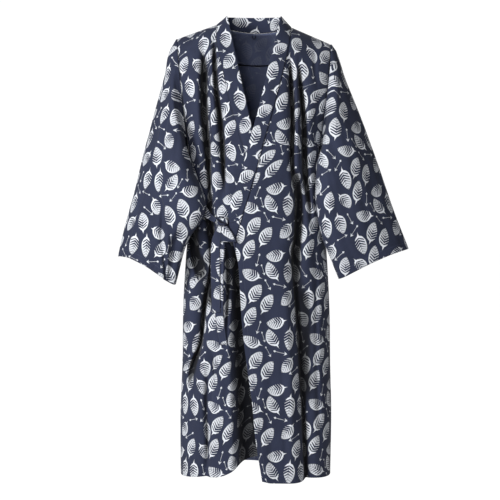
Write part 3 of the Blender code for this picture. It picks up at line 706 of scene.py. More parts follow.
def cloth(name, columns, rows, place, wall, materials, middle=0, down=None, run=None, edge_from=None,
          on_bolt=(0, 0), outward=from_body, closed=False, both_edges=False):
    """Piece of cloth on a grid. Its flat cut, hem distance, edge distance and the depth of its painted fold
    shade go with it.
    """
    across, along = len(columns) - 1, len(rows) - 1
    placed = [[place(column, row) for column in columns] for row in rows]
    points = [[point for point, _ in line] for line in placed]
    flat = flat_cut(points, middle, down, run)
    grid = bmesh.new()
    bmesh.ops.create_grid(grid, x_segments=across, y_segments=along, size=0.5)
    spots = {}
    cut_layer, (painted_shade_layer, hem_layer, edge_layer) = cloth_layers(grid)
    for vertex in grid.verts:
        column = round((vertex.co.x + 0.5) * across)
        row = round((vertex.co.y + 0.5) * along)
        spots[vertex] = column, row
        vertex.co = points[row][column]
        vertex[painted_shade_layer] = max(0.0, placed[row][column][1])
        vertex[hem_layer] = flat[row][column][1] - flat[-1][column][1]
        first = abs(flat[row][column][0] - flat[row][0][0])
        last = abs(flat[row][column][0] - flat[row][-1][0])
        vertex[edge_layer] = min(first, last) if both_edges else first
        if edge_from is not None and rows[row] < edge_from:
            vertex[edge_layer] = FAR
    for face in grid.faces:
        for corner in face.loops:
            column, row = spots[corner.vert]
            corner[cut_layer].uv = [a + b for a, b in zip(flat[row][column], on_bolt)]
    grid.normal_update()
    facing_out = sum(face.normal.dot(outward(face.calc_center_median())) * face.calc_area()
                     for face in grid.faces)
    if facing_out < 0.0:
        bmesh.ops.reverse_faces(grid, faces=grid.faces)
    if closed:
        bmesh.ops.remove_doubles(grid, verts=grid.verts, dist=MERGE_REACH)
    return add_piece(name, grid, wall, materials)


def add_piece(name, mesh_builder, wall, materials):
    mesh = bpy.data.meshes.new(name)
    mesh_builder.normal_update()
    mesh_builder.to_mesh(mesh)
    mesh_builder.free()
    for material in materials:
        mesh.materials.append(material)
    mesh.shade_smooth()
    piece = bpy.data.objects.new(name, mesh)
    bpy.context.scene.collection.objects.link(piece)
    if wall:
        solidify = piece.modifiers.new("Cloth thickness", "SOLIDIFY")
        solidify.thickness = wall
        solidify.offset = 0.0
        solidify.use_quality_normals = True
        solidify.material_offset = len(materials) - 1
    return piece


def over_lift(x, drop):
    """How far the lapped front stands off the one below it."""
    down = ease((drop - LIFT_STARTS_AT) / (LIFT_FULL_AT - LIFT_STARTS_AT))
    return OVERLAP_LIFT * down * (1.0 - ease((x - LIFT_FADES_FROM) / (LIFT_GONE_AT - LIFT_FADES_FROM)))


def no_lift(x, drop):
    return 0.0


Front = namedtuple("Front", "name side edges folds lines lift hem on_bolt")
OVER_FRONT = Front("front_left_over", 1, OVER_EDGE, OVER_FOLDS, OVER_LINES, over_lift, OVER_HEM,
                   (0.031, 0.052))
UNDER_FRONT = Front("front_right_under", -1, UNDER_EDGE, UNDER_FOLDS, UNDER_LINES, no_lift, UNDER_HEM,
                    (0.118, 0.093))


def front_point(front, x, drop, out=0.0):
    return body_point(x, drop, FRONT, out + front.lift(x, drop), front.folds, front.lines)


def front_panel(front, materials):
    """One front, from its band seam or free edge to its armhole and side seam."""
    shares = seam_steps(FRONT_COLUMNS)

    def across(share, drop):
        return column_x(drop, FRONT, read(front.edges, "drop", drop, "seam_x"), front.side, share)

    def place(share, drop):
        wanted = drop
        if drop > BAND_TIP_DROP:
            hem_here = read(front.hem, "x", across(share, ROBE_LENGTH), "drop")
            below = (drop - BAND_TIP_DROP) / (ROBE_LENGTH - BAND_TIP_DROP)
            wanted = BAND_TIP_DROP + below * (hem_here - BAND_TIP_DROP)
        x = across(share, wanted)
        from_seam = min(abs(x - across(0.0, wanted)), abs(x - across(1.0, wanted)))
        dip = SEAM_DIP * math.exp(-(from_seam / SEAM_DIP_REACH) ** 2) if drop <= BAND_TIP_DROP else 0.0
        point, fine = front_point(front, x, wanted, -dip)
        # Painted shade: a dark line along the armhole seam, fading out just below the armpit
        from_armhole = abs(x - across(1.0, wanted)) / ARMHOLE_SHADE_REACH
        above_end = ARMPIT_DROP + ARMHOLE_SHADE_BELOW - wanted
        near_hole = ease(wanted / ARMHOLE_SHADE_FADE) * ease(above_end / ARMHOLE_SHADE_FADE)
        return point, fine + ARMHOLE_SHADE * near_hole * math.exp(-from_armhole ** 2)

    middle = len(shares) // 2 if front.side == -1 else len(shares) // 3
    return cloth(front.name, shares, panel_drops(), place, CLOTH, materials, middle=middle,
                 down=len(shares) * 2 // 3, edge_from=BAND_TIP_DROP, on_bolt=front.on_bolt)


def neckline_drop(x):
    """Drop of the back neckline below the shoulder line."""
    inside = max(0.0, 1.0 - (x / NECK_HALF_WIDTH) ** 2)
    depth = outline(0.0, BACK)[3]
    roll = NECK_BACK_DEPTH * math.sqrt(inside) / depth
    return ROLL[BACK] * (1.0 - math.sqrt(1.0 - roll * roll))


def below_neckline(x, drop, out=0.0):
    """Point of the back on a column that starts at the neckline."""
    top = neckline_drop(x)
    return body_point(x, top + drop / ROBE_LENGTH * (ROBE_LENGTH - top), BACK, out, BACK_FOLDS, BACK_LINES)


def back_panel(materials):
    """The back, in one piece from the neckline and shoulder seams to the hem."""
    neck_count = BACK_COLUMNS // 3
    side_count = BACK_COLUMNS // 3
    inner = [NECK_HALF_WIDTH * math.sin(math.radians(-90 + 180 * i / neck_count))
             for i in range(neck_count + 1)]
    outer = seam_steps(side_count)[1:]
    columns = ([("side", -1, share) for share in reversed(outer)] + [("neck", x, 0.0) for x in inner]
               + [("side", 1, share) for share in outer])

    def place(column, drop):
        kind, first, share = column
        if kind == "neck":
            return below_neckline(first, drop)
        x = column_x(drop, BACK, first * NECK_HALF_WIDTH, first, share)
        return body_point(x, drop, BACK, 0.0, BACK_FOLDS, BACK_LINES)

    return cloth("back_panel", columns, panel_drops(), place, CLOTH, materials, middle=len(columns) // 2,
                 down=side_count // 2, edge_from=NO_ROW, on_bolt=(0.070, 0.020))


def facing_columns():
    return [-FACING_HALF_WIDTH + 2 * FACING_HALF_WIDTH * share for share in even_steps(FACING_COLUMNS)]


def back_neck_facing(materials):
    """Facing inside the back of the neck, made from the back's own points moved in."""
    rows = [FACING_TOP + (FACING_DROP - FACING_TOP) * share for share in even_steps(FACING_ROWS)]
    middle = FACING_COLUMNS // 2

    def place(x, drop):
        tucked = FACING_TUCK + (FACING_STANDS_IN - FACING_TUCK) * ease(drop / FACING_TUCKS_IN_OVER)
        return below_neckline(x, drop, -tucked)

    return cloth("back_neck_facing", facing_columns(), rows, place, CLOTH, materials, middle=middle,
                 down=middle, edge_from=NO_ROW, on_bolt=(0.011, 0.071))


def facing_binding(material):
    """Narrow strip over the raw lower edge of the facing, coloured near-black as the painted shadow line
    under that edge.
    """

    def place(x, around):
        turn = math.pi * (around - 0.5)
        drop = FACING_DROP - SHADOW_LINE_WIDTH * math.cos(turn) + SHADOW_LINE_WIDTH / 2
        return below_neckline(x, drop, -FACING_STANDS_IN - SHADOW_LINE_SWELL * math.sin(turn))

    return cloth("facing_binding", facing_columns(), even_steps(SHADOW_LINE_ROWS), place, SHADOW_LINE_CLOTH,
                 [material], middle=FACING_COLUMNS // 2)


def neckband(materials):
    """Long band: up the lapped edge, round the back of the neck and down the other edge."""
    front = [BAND_TIP_DROP * share ** BAND_ROW_SPREAD for share in even_steps(BAND_FRONT_ROWS)]
    neck = [NECK_HALF_WIDTH * math.sin(math.radians(angle)) for angle in range(87, -90, -3)]
    stations = ([("over", drop) for drop in reversed(front)] + [("neck", x) for x in neck]
                + [("under", drop) for drop in front])

    def stand_up(seam):
        """Free edge of the band where it stands round the neck, leaning in."""
        inward = Vector((-seam.x / NECK_HALF_WIDTH, -max(0.0, seam.y) / NECK_BACK_DEPTH, 0.0))
        beside = abs(seam.x / NECK_HALF_WIDTH) ** 3
        lean = BAND_LEAN + BAND_SIDE_LEAN * beside
        rise = BAND_STAND - BAND_SIDE_DIP * beside - seam.z - SEAM_LIFT
        return seam + inward * lean + Vector((0.0, 0.0, rise))

    def place(across, station):
        kind, value = station
        # Painted shade along the band's seam
        seam_shade = BAND_SEAM_SHADE * math.exp(-(across / BAND_SHADE_REACH) ** 2)
        if kind == "neck":
            seam, _ = body_point(value, neckline_drop(value), BACK)
            seam.z += SEAM_LIFT
            return seam.lerp(stand_up(seam), across), seam_shade
        shape = OVER_FRONT if kind == "over" else UNDER_FRONT
        plump = BAND_PLUMP * math.sin(math.pi * across) ** 0.6 + BAND_STANDS_OFF
        seam_x = read(shape.edges, "drop", value, "seam_x")
        free_x = read(shape.edges, "drop", value, "free_x")
        stand = 1.0 - ease(value / BAND_LIES_DOWN_BY)
        seam, _ = front_point(shape, seam_x, value)
        seam.z += SEAM_LIFT * stand
        x = seam_x + (free_x - seam_x) * across
        flat, fine = front_point(shape, x, value, plump * (1.0 - stand))
        flat.z += SEAM_LIFT * stand * (1.0 - across)
        return flat.lerp(seam.lerp(stand_up(seam), across), stand), fine + seam_shade

    return cloth("neckband", even_steps(BAND_COLUMNS), stations, place, BAND_CLOTH, materials, run=along_band,
                 on_bolt=(0.090, 0.040), both_edges=True)


def clear_of_body(point):
    """Moves a sleeve point that would lie inside the body out to just in front of it."""
    drop = -point.z
    if drop < SHOULDER_SETTLES_BY:
        return point
    grown = ease((drop - CLEARANCE_GROWS_FROM) / (CLEARANCE_FULL_AT - CLEARANCE_GROWS_FROM))
    clearance = ARMPIT_CLEARANCE + (SLEEVE_CLEARANCE - ARMPIT_CLEARANCE) * grown
    face = FRONT if point.y < 0 else BACK
    centre, side, half_width, depth, _ = outline(drop, face)
    if abs(point.x - centre) > side + clearance:
        return point
    across = abs(point.x - centre) / (half_width + clearance)
    forward = abs(point.y) / (depth + clearance)
    inside = across ** SQUARENESS + forward ** SQUARENESS
    if inside >= 1.0:
        return point
    scale = inside ** (-1.0 / SQUARENESS)
    return Vector((centre + (point.x - centre) * scale, point.y * scale, point.z))


def armhole_point(side_sign, angle):
    """Point of the armhole's edge: the shoulder at 0, the front at 90, the armpit at 180 degrees."""
    face = FRONT if angle <= 180 else BACK
    around = angle if angle <= 180 else 360 - angle
    drop = ARMPIT_DROP / 2 * (1 - math.cos(math.radians(around)))
    centre, side, _, _, _ = outline(drop, face)
    point, _ = body_point(centre + side_sign * side, drop, face)
    if around in (0, 180):
        point.y = 0.0
    return point


def crease_press(rings, creases, place, angle):
    """How far a sleeve's creases press in at one place, and the depth that shades it."""
    total, fine = 0.0, 0.0
    for crease in creases:
        if not crease.top_place < place < crease.bottom_place:
            continue
        share = (place - crease.top_place) / (min(crease.bottom_place, rings[-1].place) - crease.top_place)
        offset = angle - (crease.top_angle + (crease.bottom_angle - crease.top_angle) * share)
        ends = ease(place - crease.top_place) * ease(crease.bottom_place - place)
        press = crease.depth * ends * math.exp(-(offset / crease.width) ** 2)
        total += press
        fine = max(fine, press * min(1.0, FULLY_SHADED_CREASE_WIDTH / crease.width))
    return total, fine


def sleeve_ring_point(rings, creases, place, angle):
    """Point on one ring of a sleeve, with the sleeve's creases pressed in."""
    values = [read(rings, "place", place, column) for column in Ring._fields[1:]]
    outer, under = Vector(values[0:3]), Vector(values[3:6])
    half_depth, rise = values[6:8]
    middle, reach = (outer + under) / 2, (outer - under) / 2
    to_front = Vector((0.0, -1.0, 0.0))
    to_front -= reach * (to_front.dot(reach) / reach.length_squared)
    to_front.z = 0.0
    turn = math.radians(angle)
    point = middle + reach * math.cos(turn) + to_front.normalized() * (half_depth * math.sin(turn))
    point.z += rise * math.sin(turn) ** 2
    press, fine = crease_press(rings, creases, place, angle)
    press += SLEEVE_WAVE * noise.noise(Vector((math.cos(turn) * 2.4, math.sin(turn) * 2.4, place * 0.9)))
    gather = ease((2.2 - place) / 1.2) * (0.5 + 0.5 * math.cos(turn))
    press += GATHER_DEPTH * gather * math.sin(math.radians(angle * 15.0))
    point += (middle - point).normalized() * press
    return clear_of_body(point), fine


def sleeve(name, side_sign, rings, creases, materials, on_bolt):
    """Sleeve from the armhole's edge over a short cap to the cuff. Its flat cut opens under the arm."""
    angles = [180 + 360 * share for share in even_steps(SLEEVE_COLUMNS)]
    last = rings[-1].place
    rows = ([("edge", out) for out in SLEEVE_EDGE_STEPS]
            + [("cap", share) for share in SLEEVE_CAP_SHARES]
            + [("ring", 1.0 + (last - 1.0) * share) for share in even_steps(SLEEVE_ROWS)])

    def place(angle, row):
        kind, value = row
        around = angle % 360
        hole = armhole_point(side_sign, around)
        if kind == "edge":
            return hole + Vector((side_sign * value, 0.0, 0.0)), 0.0
        if kind == "ring":
            return sleeve_ring_point(rings, creases, value, around)
        ring, fine = sleeve_ring_point(rings, creases, 1.0, around)
        return (hole + Vector((side_sign * SLEEVE_STUB, 0.0, 0.0))).lerp(ring, value), fine * value

    def outward(point):
        """Away from a line down the middle of the sleeve."""
        share = min(1.0, max(0.0, -point.z / SLEEVE_AXIS_LENGTH))
        axis_x = side_sign * (SLEEVE_AXIS_TOP + SLEEVE_AXIS_SPREAD * share)
        return Vector((point.x - axis_x, point.y + SLEEVE_AXIS_FORWARD, 0.0))

    return cloth(name, angles, rows, place, CLOTH, materials, middle=SLEEVE_COLUMNS // 2, on_bolt=on_bolt,
                 run=along_outer_line, outward=outward, closed=True)


def forwards(point):
    return Vector((0.0, -1.0, 0.0))


def sewn_strap(name, rows, place, material, on_bolt):
    """Flat sewn strap. Its points come from their place across it, -0.5 to 0.5, and along its rows."""
    stations = [i / STRAP_STEPS for i in range((len(rows) - 1) * STRAP_STEPS + 1)]
    columns = [share - 0.5 for share in even_steps(STRAP_COLUMNS)]

    # Painted shade along both edges of each strap
    def shaded(across, station):
        return place(across, station), STRAP_EDGE_SHADE * abs(2.0 * across) ** 5

    return cloth(name, columns, stations, shaded, TIE_CLOTH, [material], middle=STRAP_COLUMNS // 2,
                 on_bolt=on_bolt, outward=forwards, both_edges=True)


def strap(name, rows, material, on_bolt):
    """Strap along a path on the front, its width square to the path."""

    def square_to_path(place):
        before = smooth_row(rows, max(0.0, place - PATH_STEP))
        after = smooth_row(rows, min(len(rows) - 1.0, place + PATH_STEP))
        run = Vector((after[0] - before[0], after[1] - before[1]))
        return Vector((-run.y, run.x)).normalized()

    def place(across, station):
        x, drop, width, out = smooth_row(rows, station)
        square = square_to_path(station)
        out += STRAP_WAVE * math.sin(math.pi * (across + 0.5)) * math.sin(station * 2.1 + x * 90.0)
        return body_point(x + square.x * width * across, drop + square.y * width * across, FRONT, out)[0]

    return sewn_strap(name, rows, place, material, on_bolt)


def bow_loop(material):
    """Hanging loop of the bow: one strap that runs down, turns at the bottom and comes back up."""

    def place(across, station):
        x, drop, width, out = smooth_row(BOW_LOOP, station)
        pleat = LOOP_PLEAT * math.sin(across * 17.0 + station) * ease(abs(station - 3.0) / 1.5)
        return body_point(x + width * across, drop, FRONT, out + pleat)[0]

    return sewn_strap("tie_bow_loop", BOW_LOOP, place, material, (0.030, 0.110))


def tie_knot(material):
    """Tied knot: a rounded lump with the strap's turns as grooves across it."""
    knot = bmesh.new()
    bmesh.ops.create_uvsphere(knot, u_segments=64, v_segments=40, radius=1.0)
    cut_layer, (painted_shade_layer, hem_layer, edge_layer) = cloth_layers(knot)
    middle, _ = body_point(KNOT_PLACE.x, KNOT_PLACE.drop, FRONT, KNOT_PLACE.out)
    for face in knot.faces:
        for corner in face.loops:
            across, up = corner.vert.co.x * KNOT_HALF_SIZE.x, corner.vert.co.z * KNOT_HALF_SIZE.z
            corner[cut_layer].uv = (across + KNOT_ON_BOLT[0], up + KNOT_ON_BOLT[1])
    for vertex in knot.verts:
        spot = vertex.co.copy()
        wrap = abs(math.sin(3.4 * (spot.x * 0.55 + spot.z) + 0.5))
        pinch = math.exp(-((spot.x - 0.15) / 0.22) ** 2)
        sink = KNOT_GROOVE * (1.0 - wrap) ** 3 + KNOT_PINCH * pinch
        rounded = [signed_power(value, KNOT_ROUNDNESS) * (1.0 - sink) for value in spot]
        vertex.co = middle + Vector([value * half for value, half in zip(rounded, KNOT_HALF_SIZE)])
        # Painted shade in the knot's grooves
        vertex[painted_shade_layer] = KNOT_GROOVE_SHADE * (1.0 - wrap) ** 2
        vertex[hem_layer] = FAR
        vertex[edge_layer] = FAR
    return add_piece("tie_knot", knot, None, [material])


def neck_loop(material):
    """Small cord loop that hangs inside the back of the neck."""
    path = bpy.data.curves.new("neck_loop", "CURVE")
    path.dimensions = "3D"
    path.bevel_depth = LOOP_RADIUS
    path.bevel_resolution = 4
    path.use_fill_caps = True
    path.materials.append(material)
    spline = path.splines.new("POLY")
    spline.points.add(LOOP_STEPS)
    for number, point in enumerate(spline.points):
        turn = math.pi * number / LOOP_STEPS
        drop = LOOP_TOP_DROP + LOOP_LENGTH * math.sin(turn)
        place, _ = body_point(LOOP_HALF_WIDTH * math.cos(turn), drop, BACK, -LOOP_STANDS_IN)
        point.co = (*place, 1.0)
    piece = bpy.data.objects.new("neck_loop", path)
    bpy.context.scene.collection.objects.link(piece)
    return piece


def new_node(tree, kind, **settings):
    node = tree.nodes.new(kind)
    for name, value in settings.items():
        setattr(node, name, value)
    return node


class Signal:
    """Output of a shader node. Arithmetic on it adds Math nodes to the same tree."""

    def __init__(self, socket):
        self.socket = socket

    @property
    def tree(self):
        return self.socket.id_data

    def __add__(self, other):
        return maths("ADD", self, other)

    def __sub__(self, other):
        return maths("SUBTRACT", self, other)

    def __rsub__(self, other):
        return maths("SUBTRACT", other, self)

    def __mul__(self, other):
        return maths("MULTIPLY", self, other)

    def __truediv__(self, other):
        return maths("DIVIDE", self, other)

    def __pow__(self, other):
        return maths("POWER", self, other)

    def __abs__(self):
        return maths("ABSOLUTE", self)


def feed(socket, value):
    """Gives an input a number or colour, or joins it to a signal."""
    if isinstance(value, Signal):
        value.tree.links.new(value.socket, socket)
    else:
        socket.default_value = value


def feed_all(node, values):
    """Feeds the named or numbered inputs of a node."""
    for label, value in values.items():
        feed(node.inputs[label], value)


def signal(tree, kind, values, output=0, **settings):
    """Signal of a new node that is fed with the values."""
    node = new_node(tree, kind, **settings)
    feed_all(node, values)
    return Signal(node.outputs[output])


def maths(operation, *values):
    tree = next(value.tree for value in values if isinstance(value, Signal))
    return signal(tree, "ShaderNodeMath", dict(enumerate(values)), operation=operation)


def vector_maths(operation, *values):
    return signal(values[0].tree, "ShaderNodeVectorMath", dict(enumerate(values)), operation=operation)


def larger(first, second):
    return maths("MAXIMUM", first, second)


def between(value, low, high, start=0.0, end=1.0):
    """Value carried smoothly from one range to another."""
    ends = {"Value": value, "From Min": low, "From Max": high, "To Min": start, "To Max": end}
    return signal(value.tree, "ShaderNodeMapRange", ends, "Result", interpolation_type="SMOOTHSTEP")


def mix_colour(share, first, second):
    node = new_node(share.tree, "ShaderNodeMix", data_type="RGBA")
    colours = [colour if isinstance(colour, Signal) else (*colour, 1.0) for colour in (first, second)]
    feed_all(node, {"Factor": share, "A": colours[0], "B": colours[1]})
    return Signal(next(socket for socket in node.outputs if socket.type == "RGBA" and socket.enabled))


def parts(vector):
    """The three numbers of a vector."""
    node = new_node(vector.tree, "ShaderNodeSeparateXYZ")
    feed(node.inputs[0], vector)
    return [Signal(socket) for socket in node.outputs]


def stretched(place, scale):
    return signal(place.tree, "ShaderNodeMapping", {"Vector": place, "Scale": scale}, vector_type="POINT")


def soft_noise(place, scale, detail=2.0, output="Fac", **settings):
    values = {"Vector": place, "Scale": scale, "Detail": detail}
    return signal(place.tree, "ShaderNodeTexNoise", values, output, **settings)


def bump(height, distance, strength=1.0):
    values = {"Height": height, "Distance": distance, "Strength": strength}
    return signal(height.tree, "ShaderNodeBump", values)


NUMBER = "NodeSocketFloat"
VECTOR = "NodeSocketVector"


def new_group(name, inputs, outputs):
    """Empty shader group, the signals that it is given, and the node that takes its results."""
    tree = bpy.data.node_groups.new(name, "ShaderNodeTree")
    for label, kind in inputs.items():
        tree.interface.new_socket(label, in_out="INPUT", socket_type=kind)
    for label, kind in outputs.items():
        tree.interface.new_socket(label, in_out="OUTPUT", socket_type=kind)
    source, result = tree.nodes.new("NodeGroupInput"), tree.nodes.new("NodeGroupOutput")
    return tree, {label: Signal(source.outputs[label]) for label in inputs}, result


def use_group(tree, group, values):
    """Signals that a group gives for the values, by name."""
    node = new_node(tree, "ShaderNodeGroup", node_tree=group)
    feed_all(node, values)
    return {socket.name: Signal(socket) for socket in node.outputs}


def motif_group(name, extra):
    """Start of a motif's group. The cloth's place is in X and Y of the state, and the ink so far in Z."""
    inputs = {"State": VECTOR, "Middle": VECTOR, "Turn": NUMBER, "Length": NUMBER, **extra}
    tree, given, result = new_group(name, inputs, {"State": VECTOR})
    apart = vector_maths("SUBTRACT", given["State"], given["Middle"])
    half = Vector((REPEAT[0] / 2, REPEAT[1] / 2, 9.0))
    turn = {"Vector": vector_maths("WRAP", apart, half, -half), "Angle": given["Turn"] * (-math.pi / 180.0)}
    x, y, _ = parts(signal(tree, "ShaderNodeVectorRotate", turn, rotation_type="Z_AXIS"))
    return given, result, x / given["Length"], y / given["Length"] + 0.5


def add_ink(given, result, ink):
    """End of a motif's group: its ink goes over what is already there."""
    x, y, before = parts(given["State"])
    after = {"X": x, "Y": y, "Z": larger(before, ink)}
    feed(result.inputs["State"], signal(ink.tree, "ShaderNodeCombineXYZ", after))
    return ink.tree


def leaf_group():
    """One printed leaf, in shares of its length: stem at 0, tip at 1, dark veins that open to the tip."""
    given, result, across, along = motif_group("Printed leaf", {"Width": NUMBER, "Bend": NUMBER})
    sideways = across + (along - 0.5) ** 2.0 * given["Bend"]
    beside = abs(sideways)
    from_stem = larger(along - 0.03, 0.0) ** 0.52
    slanting = maths("MULTIPLY_ADD", sideways, -0.42, 1.0 - along)
    from_tip = larger(slanting, 0.0) ** 0.76
    reach = from_stem * from_tip * 2.28 * given["Width"]
    blade = between(reach - beside, 0.0, 0.02)
    wash = between(along, 0.40, 0.70, 1.0, 0.80)

    teeth = maths("PINGPONG", along * 7.4 - beside * 5.0, 0.5)
    heavy = between(along, 0.08, 0.24, 0.10, 0.36) * between(along, 0.44, 0.70, 1.0, 0.30)
    vein_width = heavy * between(sideways, -0.20, 0.20, 0.72, 1.18)
    vein_reach = reach * between(sideways, -0.22, 0.22, 0.86, 1.08)
    vein = between(vein_width - teeth, -0.04, 0.05) * between(vein_reach - beside, 0.0, 0.03)
    rib = between(beside, 0.016, 0.006) * between(along, 0.95, 0.60, 0.0, 0.7)
    dark = larger(vein, rib) * between(along, 0.08, 0.14)

    flare = between(along, -0.15, 0.13, 0.010, 0.075)
    stalk = between(along, -0.17, -0.15) * between(along, 0.14, 0.12)
    stem = between(flare - beside, 0.0, 0.015) * stalk
    return add_ink(given, result, larger(blade * wash * (1.0 - dark), stem))


def arrow_group():
    """One printed arrow, in shares of its length: fletching at 0, thin shaft, and head at 1."""
    given, result, across, along = motif_group("Printed arrow", {})
    beside = abs(across)
    whole = between(along, 0.0, 0.02) * between(along, 0.98, 0.94, 0.0, 0.8)
    shaft = between(beside, 0.022, 0.008) * whole
    slope = (1.0 - along) * 0.62
    head = between(slope - beside, 0.0, 0.02) * between(along + beside * 0.5, 0.81, 0.84)
    fletching = between(abs(along - 0.08) * 0.75 + beside, 0.088, 0.070)
    return add_ink(given, result, larger(shaft, larger(head, fletching)) * 0.88)


def print_group(leaf, arrow):
    """The whole printed repeat, on flat cloth in metres. Each motif is laid on after the one before it."""
    tree, given, result = new_group("Leaf and arrow print", {"Cloth": VECTOR}, {"Ink": NUMBER})
    rough = soft_noise(given["Cloth"], PRINT_ROUGH_SCALE, 1.0, "Color")
    state = vector_maths("MULTIPLY_ADD", rough, (PRINT_ROUGHNESS, PRINT_ROUGHNESS, 0.0), given["Cloth"])
    for motif in LEAVES + ARROWS:
        values = {"State": state, "Middle": (motif.across, motif.up, 0.0), "Turn": motif.turn,
                  "Length": motif.length}
        if motif.width:
            values.update({"Width": motif.width, "Bend": motif.bend})
        state = use_group(tree, leaf if motif.width else arrow, values)["State"]
    feed(result.inputs["Ink"], parts(state)[2])
    return tree


def weave_group():
    """Plain weave with uneven threads, on flat cloth in metres."""
    tree, given, result = new_group("Plain weave", {"Cloth": VECTOR}, {"Height": NUMBER, "Tone": NUMBER})
    slubs = [soft_noise(stretched(given["Cloth"], scale), 1.0) for scale in SLUB_SCALES]
    warp, weft = [maths("SINE", way * (2 * math.pi / WEAVE_PITCH)) for way in parts(given["Cloth"])[:2]]
    plain = maths("MULTIPLY_ADD", warp * weft, 0.25, 0.5)
    uneven = slubs[0] + slubs[1]
    feed_all(result, {"Height": maths("MULTIPLY_ADD", uneven, 0.5, plain), "Tone": uneven * 0.5})
    return tree


def stitch_group():
    """A row of stitches at a set distance from an edge, and the step where the hem's edge lies under it."""
    inputs = {"Distance": NUMBER, "Along": NUMBER, "Hem depth": NUMBER}
    tree, given, result = new_group("Stitched hem", inputs, {"Thread": NUMBER, "Height": NUMBER})
    beyond = given["Distance"] - given["Hem depth"]
    off = abs(beyond)
    beat = maths("PINGPONG", given["Along"], STITCH_LENGTH / 2)
    thread = between(off, 0.0007, 0.0003) * between(beat, STITCH_LENGTH * 0.10, STITCH_LENGTH * 0.18)
    step = between(beyond, 0.0010, 0.0022, 1.0, 0.0)
    furrow = between(off, 0.0022, 0.0002, 0.0, -0.7)
    feed_all(result, {"Thread": thread, "Height": step + furrow + thread * 0.5})
    return tree


def crumple_group():
    """Soft unevenness and faint pressed wrinkles, on the piece's own place in space."""
    tree, given, result = new_group("Soft crumple", {"Place": VECTOR}, {"Height": NUMBER, "Tone": NUMBER})
    place = stretched(given["Place"], (1.0, 1.0, 0.45))
    broad = soft_noise(place, 24.0, 3.0)
    ridges = soft_noise(place, 34.0, noise_type="RIDGED_MULTIFRACTAL")
    feed_all(result, {"Height": maths("MULTIPLY_ADD", ridges, 0.25, broad), "Tone": broad})
    return tree


Effects = namedtuple("Effects", "print weave stitch crumple")


def new_material(name):
    """Material, its tree and its surface shader."""
    material = bpy.data.materials.new(name)
    material.use_nodes = True
    return material, material.node_tree, material.node_tree.nodes["Principled BSDF"]


def cloth_material(name, effects, ground, ink_share, hem_depth, edge_depth):
    """Cotton with the print on it, and hems stitched at the given depths from the hem and the free edge."""
    material, tree, shader = new_material(name)
    cut = signal(tree, "ShaderNodeUVMap", {}, "UV", uv_map="Cut")
    across, along, _ = parts(cut)
    place = signal(tree, "ShaderNodeTexCoord", {}, "Object")
    fold, to_hem, to_edge = [signal(tree, "ShaderNodeAttribute", {}, "Fac", attribute_name=layer)
                             for layer in ("fold", "hem", "edge")]
    drawn = use_group(tree, effects.print, {"Cloth": cut})["Ink"]
    weave = use_group(tree, effects.weave, {"Cloth": cut})
    crumple = use_group(tree, effects.crumple, {"Place": place})
    hem = use_group(tree, effects.stitch, {"Distance": to_hem, "Along": across, "Hem depth": hem_depth})
    edge = use_group(tree, effects.stitch, {"Distance": to_edge, "Along": along, "Hem depth": edge_depth})

    worn = between(crumple["Tone"], 0.35, 0.70)
    navy = mix_colour(worn, ground, tuple(value * WORN_LIGHTER for value in ground))
    ink = drawn * ink_share
    printed = mix_colour(ink, navy, INK)
    thread = larger(hem["Thread"], edge["Thread"])
    sewn = mix_colour(thread * 0.8, printed, THREAD_NAVY)
    threads = between(weave["Tone"], 0.30, 0.70, 0.86, 1.10)
    # Painted shade: the colour darkens where the fold attribute is deep, in folds, creases, seams, strap
    # edges and knot grooves
    shade = between(fold, SHADE_FROM, SHADE_FULL_AT, 1.0, 1.0 - FOLD_SHADE)
    toned = signal(tree, "ShaderNodeVectorMath", {0: sewn, "Scale": threads * shade}, operation="SCALE")
    roughness = between(weave["Tone"], 0.25, 0.75, 0.78, 0.94) - ink * 0.08

    height = weave["Height"] * WEAVE_RISE
    for relief, rise in ((crumple["Height"], CRUMPLE_RISE), (hem["Height"], HEM_RISE),
                         (edge["Height"], HEM_RISE), (ink, INK_RISE)):
        height = maths("MULTIPLY_ADD", relief, rise, height)
    feed_all(shader, {"Base Color": toned, "Roughness": roughness, "Specular IOR Level": 0.28,
                      "Sheen Weight": 0.05, "Sheen Roughness": 0.55, "Normal": bump(height, 1.0, 0.9)})
    return material


def cord_material(name, colour, pitch):
    """Dark thread, or the near-black strip of painted shadow, with fine twisted ribs."""
    material, tree, shader = new_material(name)
    place = signal(tree, "ShaderNodeTexCoord", {}, "Object")
    x, _, z = parts(place)
    rib = maths("SINE", (x + z) * (2 * math.pi / pitch))
    fluff = soft_noise(place, 900.0)
    tone = between(maths("MULTIPLY_ADD", rib, 0.3, fluff), 0.2, 0.8)
    feed_all(shader, {"Base Color": mix_colour(tone, colour, tuple(value * 2.2 for value in colour)),
                      "Roughness": between(fluff, 0.3, 0.7, 0.65, 0.85), "Normal": bump(rib, 0.0003)})
    return material


def studio_floor():
    """Pale floor that the camera sees as plain white."""
    disc = bmesh.new()
    bmesh.ops.create_circle(disc, cap_ends=True, radius=14.0, segments=96)
    bmesh.ops.translate(disc, verts=disc.verts, vec=(0.0, 0.0, FLOOR_HEIGHT))
    pale, tree, shader = new_material("pale studio floor")
    feed_all(shader, {"Base Color": (0.80, 0.80, 0.80, 1.0), "Roughness": 0.9})
    glow = signal(tree, "ShaderNodeEmission", {"Strength": 1.08})
    seen = signal(tree, "ShaderNodeLightPath", {}, "Is Camera Ray")
    both = signal(tree, "ShaderNodeMixShader", {0: seen * 0.95, 1: Signal(shader.outputs[0]), 2: glow})
    feed(tree.nodes["Material Output"].inputs["Surface"], both)
    floor = add_piece("studio_floor", disc, None, [pale])


